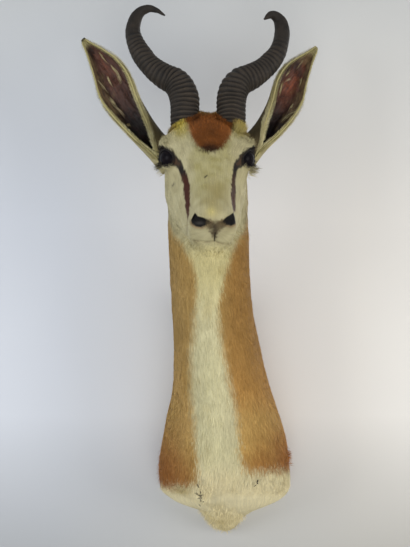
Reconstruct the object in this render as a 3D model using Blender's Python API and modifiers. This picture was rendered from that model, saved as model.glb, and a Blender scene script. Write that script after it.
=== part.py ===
"""A springbok head mount: head, horns, ears and neck on a flat back board that hangs on a wall.

Metres, +Z up. The wall is the plane y = 0 and the animal looks along -Y. The origin is the middle
of the board's back face. Left and right are those of somebody who stands in front of it.
"""

import math

import bmesh
import bpy
import numpy as np
from mathutils import Matrix, Vector

NAME = "springbok_head_mount"
GAP = 0.0003

# The head: the point midway between the eyes, and how far the face turns and looks down.
EYE_MIDPOINT = Vector((-0.0275, -0.235, 0.364))
HEAD_PITCH = math.radians(35)
HEAD_YAW = math.radians(4.5)

# The skin has this many rings from nose to chest and this many points round each ring.
HIDE_ROWS = 60
HIDE_RING = 28
HIDE_BACK_Y = -0.001
WALL_CUTTER_SIZE = (1.0, 0.2, 1.4)

# Head rings from the nose back. Each has the place of its crown point and its jaw point, as
# (along the face, up from the eye line), then half-widths as (share of the way down, half-width).
HEAD_RINGS = [
    ((0.1340, -0.018), (0.1335, -0.026), [(0.05, 0.002), (0.2, 0.004), (0.35, 0.0055), (0.5, 0.006),
                                          (0.65, 0.0055), (0.8, 0.004), (0.95, 0.002)]),
    ((0.1320, -0.006), (0.1290, -0.044), [(0.02, 0.008), (0.12, 0.0145), (0.28, 0.0190), (0.46, 0.0195),
                                          (0.66, 0.0175), (0.86, 0.0125), (0.97, 0.007)]),
    ((0.1260, 0.001), (0.1220, -0.061), [(0.01, 0.009), (0.08, 0.0180), (0.22, 0.0250), (0.42, 0.0265),
                                         (0.62, 0.0250), (0.82, 0.0210), (0.95, 0.0120)]),
    ((0.1150, 0.005), (0.1120, -0.072), [(0.012, 0.009), (0.085, 0.018), (0.23, 0.0255), (0.44, 0.0285),
                                         (0.62, 0.0280), (0.80, 0.0240), (0.95, 0.0130)]),
    ((0.1000, 0.008), (0.0980, -0.075), [(0.012, 0.009), (0.08, 0.0175), (0.23, 0.0250), (0.45, 0.0290),
                                         (0.62, 0.0295), (0.80, 0.0260), (0.95, 0.0140)]),
    ((0.0800, 0.012), (0.0790, -0.077), [(0.012, 0.0095), (0.07, 0.0185), (0.21, 0.0255), (0.43, 0.0315),
                                         (0.62, 0.0345), (0.80, 0.0325), (0.95, 0.0170)]),
    ((0.0580, 0.018), (0.0610, -0.081), [(0.012, 0.0105), (0.065, 0.0205), (0.19, 0.0280), (0.40, 0.0350),
                                         (0.60, 0.0400), (0.80, 0.0390), (0.95, 0.0210)]),
    ((0.0360, 0.025), (0.0500, -0.085), [(0.012, 0.0120), (0.055, 0.0240), (0.16, 0.0330), (0.34, 0.0380),
                                         (0.58, 0.0425), (0.79, 0.0420), (0.94, 0.0240)]),
    ((0.0170, 0.031), (0.0430, -0.089), [(0.012, 0.0130), (0.045, 0.0270), (0.12, 0.0380), (0.27, 0.0425),
                                         (0.54, 0.0455), (0.77, 0.0435), (0.94, 0.0255)]),
    ((-0.0020, 0.036), (0.0390, -0.093), [(0.012, 0.0135), (0.040, 0.0290), (0.10, 0.0440), (0.21, 0.0550),
                                          (0.51, 0.0490), (0.75, 0.0460), (0.93, 0.0280)]),
    ((-0.0220, 0.040), (0.0365, -0.096), [(0.012, 0.0145), (0.040, 0.0305), (0.11, 0.0470), (0.23, 0.0585),
                                          (0.50, 0.0515), (0.73, 0.0480), (0.92, 0.0300)]),
    ((-0.0450, 0.038), (0.0350, -0.098), [(0.012, 0.0150), (0.045, 0.0300), (0.13, 0.0450), (0.28, 0.0550),
                                          (0.50, 0.0525), (0.72, 0.0500), (0.92, 0.0325)]),
    ((-0.0680, 0.030), (0.0345, -0.099), [(0.015, 0.0140), (0.065, 0.0285), (0.17, 0.0415), (0.34, 0.0510),
                                          (0.51, 0.0540), (0.71, 0.0515), (0.91, 0.0340)]),
]

# Neck and chest rings from the poll down: (y, z) of the nape point and of the throat point, the
# middle's x, the half-width, and the share of the way from nape to throat where it is widest.
NECK_RINGS = [
    ((-0.1560, 0.421), (-0.2100, 0.260), -0.0265, 0.0530, 0.50),
    ((-0.1310, 0.398), (-0.2105, 0.254), -0.0263, 0.0530, 0.50),
    ((-0.1120, 0.363), (-0.2105, 0.246), -0.0262, 0.0535, 0.50),
    ((-0.0990, 0.325), (-0.2105, 0.235), -0.0261, 0.0540, 0.50),
    ((-0.0900, 0.288), (-0.2100, 0.220), -0.0255, 0.0540, 0.50),
    ((-0.0820, 0.254), (-0.2090, 0.200), -0.0240, 0.0540, 0.50),
    ((-0.0690, 0.222), (-0.2075, 0.177), -0.0220, 0.0545, 0.50),
    ((-0.0470, 0.193), (-0.2060, 0.150), -0.0195, 0.0555, 0.49),
    ((-0.0180, 0.165), (-0.2050, 0.122), -0.0165, 0.0575, 0.48),
    ((0.0150, 0.137), (-0.2040, 0.094), -0.0135, 0.0605, 0.47),
    ((0.0450, 0.108), (-0.2030, 0.066), -0.0095, 0.0645, 0.47),
    ((0.0600, 0.076), (-0.2020, 0.038), -0.0062, 0.0690, 0.47),
    ((0.0650, 0.040), (-0.2000, 0.010), -0.0042, 0.0780, 0.47),
    ((0.0650, 0.008), (-0.1940, -0.018), -0.0032, 0.0860, 0.47),
    ((0.0650, -0.022), (-0.1830, -0.042), -0.0025, 0.0920, 0.46),
    ((0.0650, -0.048), (-0.1680, -0.064), -0.0025, 0.0950, 0.45),
    ((0.0650, -0.070), (-0.1480, -0.082), -0.0015, 0.0955, 0.44),
    ((0.0650, -0.088), (-0.1240, -0.096), -0.0010, 0.0950, 0.43),
    ((0.0650, -0.101), (-0.1010, -0.107), 0.0005, 0.0895, 0.42),
    ((0.0650, -0.110), (-0.0840, -0.115), 0.0025, 0.0710, 0.44),
    ((0.0650, -0.118), (-0.0700, -0.122), 0.0030, 0.0490, 0.48),
    ((0.0650, -0.126), (-0.0580, -0.129), 0.0010, 0.0415, 0.52),
    ((0.0620, -0.1345), (-0.0460, -0.1370), -0.0030, 0.0315, 0.56),
    ((0.0580, -0.1430), (-0.0340, -0.1450), -0.0030, 0.0255, 0.60),
    ((0.0500, -0.1510), (-0.0230, -0.1520), -0.0015, 0.0205, 0.65),
    ((0.0300, -0.1580), (-0.0120, -0.1585), 0.0005, 0.0125, 0.70),
    ((0.0120, -0.1620), (-0.0040, -0.1620), 0.0005, 0.0030, 0.75),
]
RING_HALF = 8

# The ears. A margin's turn is how far it curls round from the back of the ear, in degrees.
EAR_THICKNESS = 0.0032
EAR_ROWS = 16
EAR_COLUMNS = 12
EAR_AXIS_REACH = 0.01
EAR_STEPS = [-0.10, 0.0, 0.12, 0.25, 0.40, 0.55, 0.68, 0.80, 0.90, 0.965, 1.0]
EAR_INNER_WIDTHS = [0.0150, 0.0150, 0.0145, 0.0130, 0.0165, 0.0250, 0.0232, 0.0154, 0.0082, 0.0040, 0.0020]
EAR_OUTER_WIDTHS = [0.0190, 0.0175, 0.0165, 0.0195, 0.0230, 0.0235, 0.0160, 0.0100, 0.0064, 0.0044, 0.0022]
EAR_DEPTHS = [0.0140, 0.0155, 0.0172, 0.0185, 0.0195, 0.0190, 0.0165, 0.0115, 0.0065, 0.0030, 0.0012]
EAR_INNER_TURNS = [212, 204, 184, 132, 101, 90, 82, 78, 76, 76, 76]
EAR_OUTER_TURNS = [142, 150, 150, 128, 112, 92, 84, 80, 76, 76, 76]
EARS = {
    "left": {
        "spine": [(-0.0700, -0.188, 0.364), (-0.0890, -0.187, 0.383), (-0.1195, -0.186, 0.424),
                  (-0.1505, -0.178, 0.467), (-0.1755, -0.164, 0.505), (-0.1935, -0.150, 0.533)],
        "facing": (-0.42, -0.90, 0.05),
        "side": -1,
        "spread": 1.07,
    },
    "right": {
        "spine": [(0.0190, -0.186, 0.370), (0.0350, -0.184, 0.389), (0.0605, -0.176, 0.424),
                  (0.0855, -0.160, 0.464), (0.1065, -0.138, 0.500), (0.1230, -0.118, 0.529)],
        "facing": (0.48, -0.86, 0.05),
        "side": 1,
        "spread": 0.93,
    },
}

# The horns: points up the middle with the radius there. The first lies inside the skin.
HORN_SIDES = 12
HORN_SOCKET_LENGTH = 0.034
HORN_SPINE_STEPS = 400
HORN_AXIS_REACH = 3
RING_DEPTH = 0.0011
FIRST_RING_STEP = 0.0045
LAST_RING_STEP = 0.0095
RINGED_SHARE = 0.72
TIP_STEP = 0.0062
HORNS = {
    "left": [
        (-0.0545, -0.213, 0.3980, 0.0180), (-0.0555, -0.211, 0.4200, 0.0180),
        (-0.0570, -0.204, 0.4460, 0.0186), (-0.0665, -0.196, 0.4650, 0.0178),
        (-0.0835, -0.188, 0.4760, 0.0160), (-0.0995, -0.177, 0.4898, 0.0142),
        (-0.1125, -0.163, 0.5075, 0.0132), (-0.1220, -0.150, 0.5260, 0.0119),
        (-0.1268, -0.139, 0.5450, 0.0103), (-0.1240, -0.133, 0.5630, 0.0084),
        (-0.1168, -0.132, 0.5735, 0.0066), (-0.1055, -0.134, 0.5775, 0.0050),
        (-0.0950, -0.138, 0.5740, 0.0034), (-0.0838, -0.144, 0.5658, 0.0010),
    ],
    "right": [
        (0.0030, -0.213, 0.4000, 0.0182), (0.0035, -0.211, 0.4220, 0.0182),
        (0.0050, -0.204, 0.4480, 0.0188), (0.0135, -0.196, 0.4650, 0.0184),
        (0.0290, -0.188, 0.4745, 0.0166), (0.0442, -0.177, 0.4855, 0.0148),
        (0.0558, -0.166, 0.4980, 0.0134), (0.0655, -0.154, 0.5125, 0.0120),
        (0.0716, -0.142, 0.5300, 0.0109), (0.0742, -0.134, 0.5460, 0.0102),
        (0.0725, -0.130, 0.5590, 0.0090), (0.0668, -0.131, 0.5670, 0.0072),
        (0.0588, -0.136, 0.5685, 0.0052), (0.0497, -0.146, 0.5605, 0.0014),
    ],
}

# Eyes and nostrils, as (along the face, sideways, up from the eye line).
EYE_RADIUS = 0.0150
EYE_PLACE = (0.0045, 0.0438, 0.0015)
NOSTRIL_PLACE = (0.1290, 0.0165, -0.0125)
NOSTRIL_SIZE = (0.0085, 0.0080, 0.0052)
NOSTRIL_TURN = math.radians(28)

# The back board: half of its outline as (sideways, up), from the top down.
BOARD_THICKNESS = 0.018
POCKET_BACK_Y = 0.01
BOARD_MIDDLE_X = -0.003
BOARD_HALF_OUTLINE = [
    (0.0, 0.112), (0.022, 0.108), (0.040, 0.094), (0.053, 0.070), (0.062, 0.040), (0.070, 0.0),
    (0.074, -0.040), (0.073, -0.068), (0.064, -0.084), (0.044, -0.096), (0.024, -0.110),
    (0.012, -0.128), (0.0, -0.136),
]


def clear_scene():
    for obj in list(bpy.data.objects):
        bpy.data.objects.remove(obj, do_unlink=True)


def new_collection(name):
    collection = bpy.data.collections.new(name)
    bpy.context.scene.collection.children.link(collection)
    return collection


def material(name, colour, roughness):
    made = bpy.data.materials.new(name)
    made.use_nodes = True
    shader = made.node_tree.nodes["Principled BSDF"]
    shader.inputs["Base Color"].default_value = (*colour, 1)
    shader.inputs["Roughness"].default_value = roughness
    shader.inputs["Metallic"].default_value = 0
    return made


def add_object(name, bm, collection, its_material=None):
    mesh = bpy.data.meshes.new(name)
    bm.to_mesh(mesh)
    bm.free()
    mesh.shade_smooth()
    obj = bpy.data.objects.new(name, mesh)
    collection.objects.link(obj)
    if its_material:
        mesh.materials.append(its_material)
    return obj


def make_cutter(obj):
    obj.hide_render = True
    obj.display_type = "WIRE"
    return obj


def add_boolean(obj, other, operation):
    modifier = obj.modifiers.new(f"{operation.lower()} {other.name}", "BOOLEAN")
    modifier.operation = operation
    modifier.object = other
    modifier.solver = "EXACT"


def head_axes():
    """Unit vectors along the face, sideways and up out of the forehead."""
    forward = Vector((
        math.sin(HEAD_YAW) * math.cos(HEAD_PITCH),
        -math.cos(HEAD_YAW) * math.cos(HEAD_PITCH),
        -math.sin(HEAD_PITCH),
    ))
    side = Vector((math.cos(HEAD_YAW), math.sin(HEAD_YAW), 0))
    return forward, side, forward.cross(side)


def head_point(along, sideways, up):
    forward, side, crown = head_axes()
    return EYE_MIDPOINT + forward * along + side * sideways + crown * up


def catmull_rom(before, start, end, after, share):
    """The point at this share of the way from start to end, on a smooth curve through all four."""
    return 0.5 * (
        2 * start
        + (end - before) * share
        + (2 * before - 5 * start + 4 * end - after) * share**2
        + (3 * start - before - 3 * end + after) * share**3
    )


def b_spline(before, start, end, after, share):
    """Like catmull_rom, but on a fairer curve that passes near the points."""
    rest = 1 - share
    return (
        rest**3 * before
        + (3 * share**3 - 6 * share**2 + 4) * start
        + (3 * rest**3 - 6 * rest**2 + 4) * end
        + share**3 * after
    ) / 6


def along_curve(points, place, blend=catmull_rom):
    """The point at this place, from 0 to 1, on an open curve of points at even steps."""
    points = np.asarray(points, float)
    padded = np.concatenate([[2 * points[0] - points[1]], points, [2 * points[-1] - points[-2]]])
    scaled = min(max(place, 0), 1) * (len(points) - 1)
    index = min(int(scaled), len(points) - 2)
    return blend(*padded[index : index + 4], scaled - index)


def profile(steps, values, place):
    """The value at this place, smoothly between the values at the steps."""
    index = int(np.clip(np.searchsorted(steps, place) - 1, 0, len(steps) - 2))
    share = (place - steps[index]) / (steps[index + 1] - steps[index])
    return along_curve(values, (index + share) / (len(steps) - 1))


def head_ring(crown, jaw, widths):
    """Half of a head ring, from the crown point to the jaw point."""
    top = np.array(head_point(crown[0], 0, crown[1]))
    bottom = np.array(head_point(jaw[0], 0, jaw[1]))
    side = np.array(head_axes()[1])
    return [top] + [top + (bottom - top) * down + side * wide for down, wide in widths] + [bottom]


def neck_ring(nape, throat, middle, half_width, widest):
    """Half of a neck ring: a quarter of an ellipse to the widest place and another to the throat."""
    top = np.array((middle, *nape))
    bottom = np.array((middle, *throat))
    points = []
    for index in range(RING_HALF + 1):
        turn = math.pi * index / RING_HALF
        down = widest * (1 - math.cos(turn)) if turn < math.pi / 2 else widest - (1 - widest) * math.cos(turn)
        sideways = np.array((half_width * math.sin(turn), 0, 0))
        points.append(top + (bottom - top) * down + sideways)
    return points


def mirrored_ring(half):
    """The whole ring: the given half and its mirror image in the ring's own middle plane."""
    half = np.array(half)
    axis = np.cross(half[-1] - half[0], half[len(half) // 2] - half[0])
    axis = np.cross(axis, half[-1] - half[0])
    axis /= np.linalg.norm(axis)
    inside = half[1:-1]
    mirrored = inside - 2 * ((inside - half[0]) @ axis)[:, None] * axis
    return np.concatenate([half, mirrored[::-1]])


def hide_cage():
    rings = [mirrored_ring(head_ring(*ring)) for ring in HEAD_RINGS]
    rings += [mirrored_ring(neck_ring(*ring)) for ring in NECK_RINGS]
    return np.array(rings)


def hide_point(cage, along, around):
    """A point of the skin. Both places run from 0 to 1: nose to chest, and once round."""
    ring = along_curve(cage, along, b_spline)
    count = len(ring)
    scaled = (around % 1) * count
    index = int(scaled) % count
    four = [ring[(index + step) % count] for step in (-1, 0, 1, 2)]
    return catmull_rom(*four, scaled - int(scaled))


def loft(bm, rings):
    """Closes a stack of rings into one body, with a flat cap at each end."""
    loops = [[bm.verts.new(point) for point in ring] for ring in rings]
    for lower, upper in zip(loops, loops[1:]):
        for index in range(len(lower)):
            after = (index + 1) % len(lower)
            bm.faces.new((lower[index], lower[after], upper[after], upper[index]))
    bm.faces.new(loops[0][::-1])
    bm.faces.new(loops[-1])
    bmesh.ops.recalc_face_normals(bm, faces=bm.faces)


def make_head_and_neck(collection, skin):
    cage = hide_cage()
    rings = []
    for row in range(HIDE_ROWS + 1):
        turns = [column / HIDE_RING for column in range(HIDE_RING)]
        rings.append([hide_point(cage, row / HIDE_ROWS, turn) for turn in turns])
    bm = bmesh.new()
    loft(bm, rings)
    return add_object("hide", bm, collection, skin)


def ear_grid(ear):
    """The middle surface of an ear as rows from the root to the tip."""
    facing = Vector(ear["facing"]).normalized()
    rows = []
    for row in range(EAR_ROWS + 1):
        place = row / EAR_ROWS
        share = EAR_STEPS[0] + (EAR_STEPS[-1] - EAR_STEPS[0]) * place
        centre = Vector(along_curve(ear["spine"], place))
        ahead = Vector(along_curve(ear["spine"], place + EAR_AXIS_REACH))
        behind = Vector(along_curve(ear["spine"], place - EAR_AXIS_REACH))
        axis = (ahead - behind).normalized()
        front = (facing - axis * facing.dot(axis)).normalized()
        outward = axis.cross(front) * ear["side"]
        depth = profile(EAR_STEPS, EAR_DEPTHS, share)
        inner_turn = math.radians(profile(EAR_STEPS, EAR_INNER_TURNS, share))
        outer_turn = math.radians(profile(EAR_STEPS, EAR_OUTER_TURNS, share))
        points = []
        for column in range(EAR_COLUMNS + 1):
            turn = -inner_turn + (inner_turn + outer_turn) * column / EAR_COLUMNS
            widths = EAR_OUTER_WIDTHS if math.sin(turn) > 0 else EAR_INNER_WIDTHS
            width = profile(EAR_STEPS, widths, share) * (ear["spread"] if math.sin(turn) > 0 else 1)
            points.append(centre + outward * width * math.sin(turn) - front * depth * math.cos(turn))
        rows.append(points)
    return rows


def make_ear(name, ear, collection):
    bm = bmesh.new()
    rows = [[bm.verts.new(point) for point in row] for row in ear_grid(ear)]
    for lower, upper in zip(rows, rows[1:]):
        for index in range(EAR_COLUMNS):
            bm.faces.new((lower[index], upper[index], upper[index + 1], lower[index + 1]))
    obj = make_cutter(add_object(f"ear_{name}", bm, collection))
    solidify = obj.modifiers.new("thickness", "SOLIDIFY")
    solidify.thickness = EAR_THICKNESS
    solidify.offset = 0
    return obj


def horn_spine(points):
    """Points close together up the middle of a horn, with the length up to each."""
    fine = np.array([along_curve(points, step / HORN_SPINE_STEPS) for step in range(HORN_SPINE_STEPS + 1)])
    steps = np.linalg.norm(np.diff(fine[:, :3], axis=0), axis=1)
    return fine, np.concatenate([[0], np.cumsum(steps)])


def horn_sections(total):
    """(length, ridge) up a horn: a groove and a ridge for each ring, farther apart up the horn."""
    ringed = total * RINGED_SHARE
    sections = []
    length = 0.0
    while length < ringed:
        share = length / ringed
        step = FIRST_RING_STEP + (LAST_RING_STEP - FIRST_RING_STEP) * share
        height = RING_DEPTH * (1 - share) ** 0.3
        sections += [(length, -height), (length + step / 2, height)]
        length += step
    rest = math.ceil((total - length) / TIP_STEP)
    return sections + [(length + (total - length) * index / rest, 0) for index in range(rest + 1)]


def horn_rings(fine, lengths, sections):
    """A ring of points round the horn at each section."""
    side = Vector((0, 1, 0))
    rings = []
    for length, grow in sections:
        *middle, radius = [float(np.interp(length, lengths, values)) for values in fine.T]
        index = int(np.interp(length, lengths, range(len(lengths))))
        above = fine[min(index + HORN_AXIS_REACH, HORN_SPINE_STEPS)]
        below = fine[max(index - HORN_AXIS_REACH, 0)]
        axis = Vector((above - below)[:3]).normalized()
        side = (side - axis * side.dot(axis)).normalized()
        other = axis.cross(side)
        turns = [math.tau * corner / HORN_SIDES for corner in range(HORN_SIDES)]
        around = [side * math.cos(turn) + other * math.sin(turn) for turn in turns]
        rings.append([Vector(middle) + direction * (radius + grow) for direction in around])
    return rings


def make_horn(name, points, collection, horn_material):
    fine, lengths = horn_spine(points)
    bm = bmesh.new()
    loft(bm, horn_rings(fine, lengths, horn_sections(lengths[-1])))
    return add_object(f"horn_{name}", bm, collection, horn_material)


def make_horn_socket(name, points, collection):
    """The hole that the foot of a horn sits in, clear of its ridges."""
    fine, lengths = horn_spine(points)
    clear = RING_DEPTH + GAP
    sections = [(HORN_SOCKET_LENGTH * index / 4, clear) for index in range(5)]
    rings = horn_rings(fine, lengths, sections)
    down = (rings[0][0] - rings[1][0]).normalized() * GAP
    rings[0] = [point + down for point in rings[0]]
    bm = bmesh.new()
    loft(bm, rings)
    return make_cutter(add_object(f"horn_socket_{name}", bm, collection))


def make_ball(name, centre, radii, collection, its_material=None, segments=16, turn=0.0):
    bm = bmesh.new()
    forward, side, crown = head_axes()
    axes = Matrix((forward, side, crown)).transposed().to_4x4()
    size = Matrix.Diagonal((*radii, 1))
    placed = Matrix.Translation(centre) @ axes @ Matrix.Rotation(turn, 4, "X") @ size
    bmesh.ops.create_uvsphere(bm, u_segments=segments, v_segments=segments // 2 + 1, radius=1, matrix=placed)
    bmesh.ops.recalc_face_normals(bm, faces=bm.faces)
    return add_object(name, bm, collection, its_material)


def grown_outline(points, distance):
    """The clockwise outline with each corner moved outward by this distance."""
    count = len(points)
    grown = []
    for index, point in enumerate(points):
        before = Vector(points[index - 1])
        after = Vector(points[(index + 1) % count])
        run = (after - before).normalized()
        grown.append(Vector(point) + Vector((-run.y, run.x)) * distance)
    return grown


def board_outline():
    mirrored = [(-across, up) for across, up in BOARD_HALF_OUTLINE[1:-1]]
    return BOARD_HALF_OUTLINE + mirrored[::-1]


def make_plate(name, outline, front, back, collection, its_material=None):
    """A flat plate whose outline lies upright, from the depth front to the depth back."""
    bm = bmesh.new()
    corners = [bm.verts.new((BOARD_MIDDLE_X + across, back, up)) for across, up in outline]
    face = bm.faces.new(corners)
    pushed = bmesh.ops.extrude_face_region(bm, geom=[face])
    moved = [item for item in pushed["geom"] if isinstance(item, bmesh.types.BMVert)]
    bmesh.ops.translate(bm, vec=(0, front - back, 0), verts=moved)
    bmesh.ops.recalc_face_normals(bm, faces=bm.faces)
    obj = add_object(name, bm, collection, its_material)
    obj.data.set_sharp_from_angle(angle=math.radians(30))
    return obj


def make_wall_cutter(collection):
    bm = bmesh.new()
    place = Matrix.Translation((0, HIDE_BACK_Y + WALL_CUTTER_SIZE[1] / 2, 0))
    bmesh.ops.create_cube(bm, size=1, matrix=place @ Matrix.Diagonal((*WALL_CUTTER_SIZE, 1)))
    return make_cutter(add_object("wall_cutter", bm, collection))


def main():
    clear_scene()
    parts = new_collection(NAME)
    cutters = new_collection("cutters")
    skin = material("hide", (0.72, 0.55, 0.36), 0.85)
    horn_material = material("horn", (0.055, 0.042, 0.035), 0.55)
    glass = material("eye_glass", (0.012, 0.010, 0.010), 0.08)
    wood = material("board_wood", (0.52, 0.36, 0.20), 0.7)

    hide = make_head_and_neck(parts, skin)
    for name, ear in EARS.items():
        add_boolean(hide, make_ear(name, ear, cutters), "UNION")
    add_boolean(hide, make_wall_cutter(cutters), "DIFFERENCE")
    outline = board_outline()
    pocket_front = -BOARD_THICKNESS - GAP
    pocket = make_plate("board_pocket", grown_outline(outline, GAP), pocket_front, POCKET_BACK_Y, cutters)
    add_boolean(hide, make_cutter(pocket), "DIFFERENCE")
    make_plate("back_board", outline, -BOARD_THICKNESS, 0, parts, wood)

    for name, points in HORNS.items():
        make_horn(name, points, parts, horn_material)
        add_boolean(hide, make_horn_socket(name, points, cutters), "DIFFERENCE")

    for name, side in (("left", -1), ("right", 1)):
        along, sideways, up = EYE_PLACE
        centre = head_point(along, side * sideways, up)
        make_ball(f"eye_{name}", centre, [EYE_RADIUS] * 3, parts, glass)
        socket = make_ball(f"eye_socket_{name}", centre, [EYE_RADIUS + GAP] * 3, cutters)
        add_boolean(hide, make_cutter(socket), "DIFFERENCE")
        along, sideways, up = NOSTRIL_PLACE
        place = head_point(along, side * sideways, up)
        nostril = make_ball(f"nostril_{name}", place, NOSTRIL_SIZE, cutters, None, 12, side * NOSTRIL_TURN)
        add_boolean(hide, make_cutter(nostril), "DIFFERENCE")


main()
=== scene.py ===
"""Springbok head mount: its coat, ears, horns, glass eyes and whiskers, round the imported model.

Metres, +Z up. The wall is the plane y = 0 and the animal looks along -Y. Left and right are those
of somebody who stands in front of it.

Where a marking lies is given on the chart: the object as seen from straight in front at the
viewing distance, x to the right and y down, with a unit of 1.48 mm on the wall.
"""

import itertools
import math
from contextlib import contextmanager
from types import SimpleNamespace

import bmesh
import bpy
import numpy as np
from mathutils import Matrix, Vector


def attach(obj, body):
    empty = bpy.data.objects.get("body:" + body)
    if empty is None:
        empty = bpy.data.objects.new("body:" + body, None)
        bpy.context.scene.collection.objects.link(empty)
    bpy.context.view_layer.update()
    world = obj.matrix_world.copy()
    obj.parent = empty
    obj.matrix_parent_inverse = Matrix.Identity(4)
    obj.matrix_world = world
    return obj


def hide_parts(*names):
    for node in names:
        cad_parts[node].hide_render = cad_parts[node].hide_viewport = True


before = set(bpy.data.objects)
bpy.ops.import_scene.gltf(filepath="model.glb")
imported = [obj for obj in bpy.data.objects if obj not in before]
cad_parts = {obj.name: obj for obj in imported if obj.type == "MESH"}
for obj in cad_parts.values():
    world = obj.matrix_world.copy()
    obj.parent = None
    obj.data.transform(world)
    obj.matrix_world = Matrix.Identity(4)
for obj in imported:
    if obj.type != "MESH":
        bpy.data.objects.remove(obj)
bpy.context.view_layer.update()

# ------------------------------------------------------------------ dimensions, as in the model

EYE_MIDPOINT = np.array((-0.0275, -0.235, 0.364))
HEAD_PITCH = math.radians(35)
HEAD_YAW = math.radians(4.5)
HIDE_BACK_Y = -0.001

# Head rings from the nose back: crown point and jaw point as (along, up), then half-widths as
# (share of the way down, half-width).
HEAD_RINGS = [
    ((0.134, -0.018), (0.1335, -0.026), [
        (0.05, 0.002), (0.2, 0.004), (0.35, 0.0055), (0.5, 0.006), (0.65, 0.0055), (0.8, 0.004),
        (0.95, 0.002)]),
    ((0.132, -0.006), (0.129, -0.044), [
        (0.02, 0.008), (0.12, 0.0145), (0.28, 0.019), (0.46, 0.0195), (0.66, 0.0175), (0.86, 0.0125),
        (0.97, 0.007)]),
    ((0.126, 0.001), (0.122, -0.061), [
        (0.01, 0.009), (0.08, 0.018), (0.22, 0.025), (0.42, 0.0265), (0.62, 0.025), (0.82, 0.021),
        (0.95, 0.012)]),
    ((0.115, 0.005), (0.112, -0.072), [
        (0.012, 0.009), (0.085, 0.018), (0.23, 0.0255), (0.44, 0.0285), (0.62, 0.028), (0.8, 0.024),
        (0.95, 0.013)]),
    ((0.1, 0.008), (0.098, -0.075), [
        (0.012, 0.009), (0.08, 0.0175), (0.23, 0.025), (0.45, 0.029), (0.62, 0.0295), (0.8, 0.026),
        (0.95, 0.014)]),
    ((0.08, 0.012), (0.079, -0.077), [
        (0.012, 0.0095), (0.07, 0.0185), (0.21, 0.0255), (0.43, 0.0315), (0.62, 0.0345), (0.8, 0.0325),
        (0.95, 0.017)]),
    ((0.058, 0.018), (0.061, -0.081), [
        (0.012, 0.0105), (0.065, 0.0205), (0.19, 0.028), (0.4, 0.035), (0.6, 0.04), (0.8, 0.039),
        (0.95, 0.021)]),
    ((0.036, 0.025), (0.05, -0.085), [
        (0.012, 0.012), (0.055, 0.024), (0.16, 0.033), (0.34, 0.038), (0.58, 0.0425), (0.79, 0.042),
        (0.94, 0.024)]),
    ((0.017, 0.031), (0.043, -0.089), [
        (0.012, 0.013), (0.045, 0.027), (0.12, 0.038), (0.27, 0.0425), (0.54, 0.0455), (0.77, 0.0435),
        (0.94, 0.0255)]),
    ((-0.002, 0.036), (0.039, -0.093), [
        (0.012, 0.0135), (0.04, 0.029), (0.1, 0.044), (0.21, 0.055), (0.51, 0.049), (0.75, 0.046),
        (0.93, 0.028)]),
    ((-0.022, 0.04), (0.0365, -0.096), [
        (0.012, 0.0145), (0.04, 0.0305), (0.11, 0.047), (0.23, 0.0585), (0.5, 0.0515), (0.73, 0.048),
        (0.92, 0.03)]),
    ((-0.045, 0.038), (0.035, -0.098), [
        (0.012, 0.015), (0.045, 0.03), (0.13, 0.045), (0.28, 0.055), (0.5, 0.0525), (0.72, 0.05),
        (0.92, 0.0325)]),
    ((-0.068, 0.03), (0.0345, -0.099), [
        (0.015, 0.014), (0.065, 0.0285), (0.17, 0.0415), (0.34, 0.051), (0.51, 0.054), (0.71, 0.0515),
        (0.91, 0.034)]),
]

# Neck and chest rings from the poll down: (y, z) of the nape point and of the throat point, the
# middle's x, the half-width, and the share of the way from nape to throat where it is widest.
NECK_RINGS = [
    ((-0.156, 0.421), (-0.21, 0.26), -0.0265, 0.053, 0.5),
    ((-0.131, 0.398), (-0.2105, 0.254), -0.0263, 0.053, 0.5),
    ((-0.112, 0.363), (-0.2105, 0.246), -0.0262, 0.0535, 0.5),
    ((-0.099, 0.325), (-0.2105, 0.235), -0.0261, 0.054, 0.5),
    ((-0.09, 0.288), (-0.21, 0.22), -0.0255, 0.054, 0.5),
    ((-0.082, 0.254), (-0.209, 0.2), -0.024, 0.054, 0.5),
    ((-0.069, 0.222), (-0.2075, 0.177), -0.022, 0.0545, 0.5),
    ((-0.047, 0.193), (-0.206, 0.15), -0.0195, 0.0555, 0.49),
    ((-0.018, 0.165), (-0.205, 0.122), -0.0165, 0.0575, 0.48),
    ((0.015, 0.137), (-0.204, 0.094), -0.0135, 0.0605, 0.47),
    ((0.045, 0.108), (-0.203, 0.066), -0.0095, 0.0645, 0.47),
    ((0.06, 0.076), (-0.202, 0.038), -0.0062, 0.069, 0.47),
    ((0.065, 0.04), (-0.2, 0.01), -0.0042, 0.078, 0.47),
    ((0.065, 0.008), (-0.194, -0.018), -0.0032, 0.086, 0.47),
    ((0.065, -0.022), (-0.183, -0.042), -0.0025, 0.092, 0.46),
    ((0.065, -0.048), (-0.168, -0.064), -0.0025, 0.095, 0.45),
    ((0.065, -0.07), (-0.148, -0.082), -0.0015, 0.0955, 0.44),
    ((0.065, -0.088), (-0.124, -0.096), -0.001, 0.095, 0.43),
    ((0.065, -0.101), (-0.101, -0.107), 0.0005, 0.0895, 0.42),
    ((0.065, -0.11), (-0.084, -0.115), 0.0025, 0.071, 0.44),
    ((0.065, -0.118), (-0.07, -0.122), 0.003, 0.049, 0.48),
    ((0.065, -0.126), (-0.058, -0.129), 0.001, 0.0415, 0.52),
    ((0.062, -0.1345), (-0.046, -0.137), -0.003, 0.0315, 0.56),
    ((0.058, -0.143), (-0.034, -0.145), -0.003, 0.0255, 0.6),
    ((0.05, -0.151), (-0.023, -0.152), -0.0015, 0.0205, 0.65),
    ((0.03, -0.158), (-0.012, -0.1585), 0.0005, 0.0125, 0.7),
    ((0.012, -0.162), (-0.004, -0.162), 0.0005, 0.003, 0.75),
]
RING_HALF = 8

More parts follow.
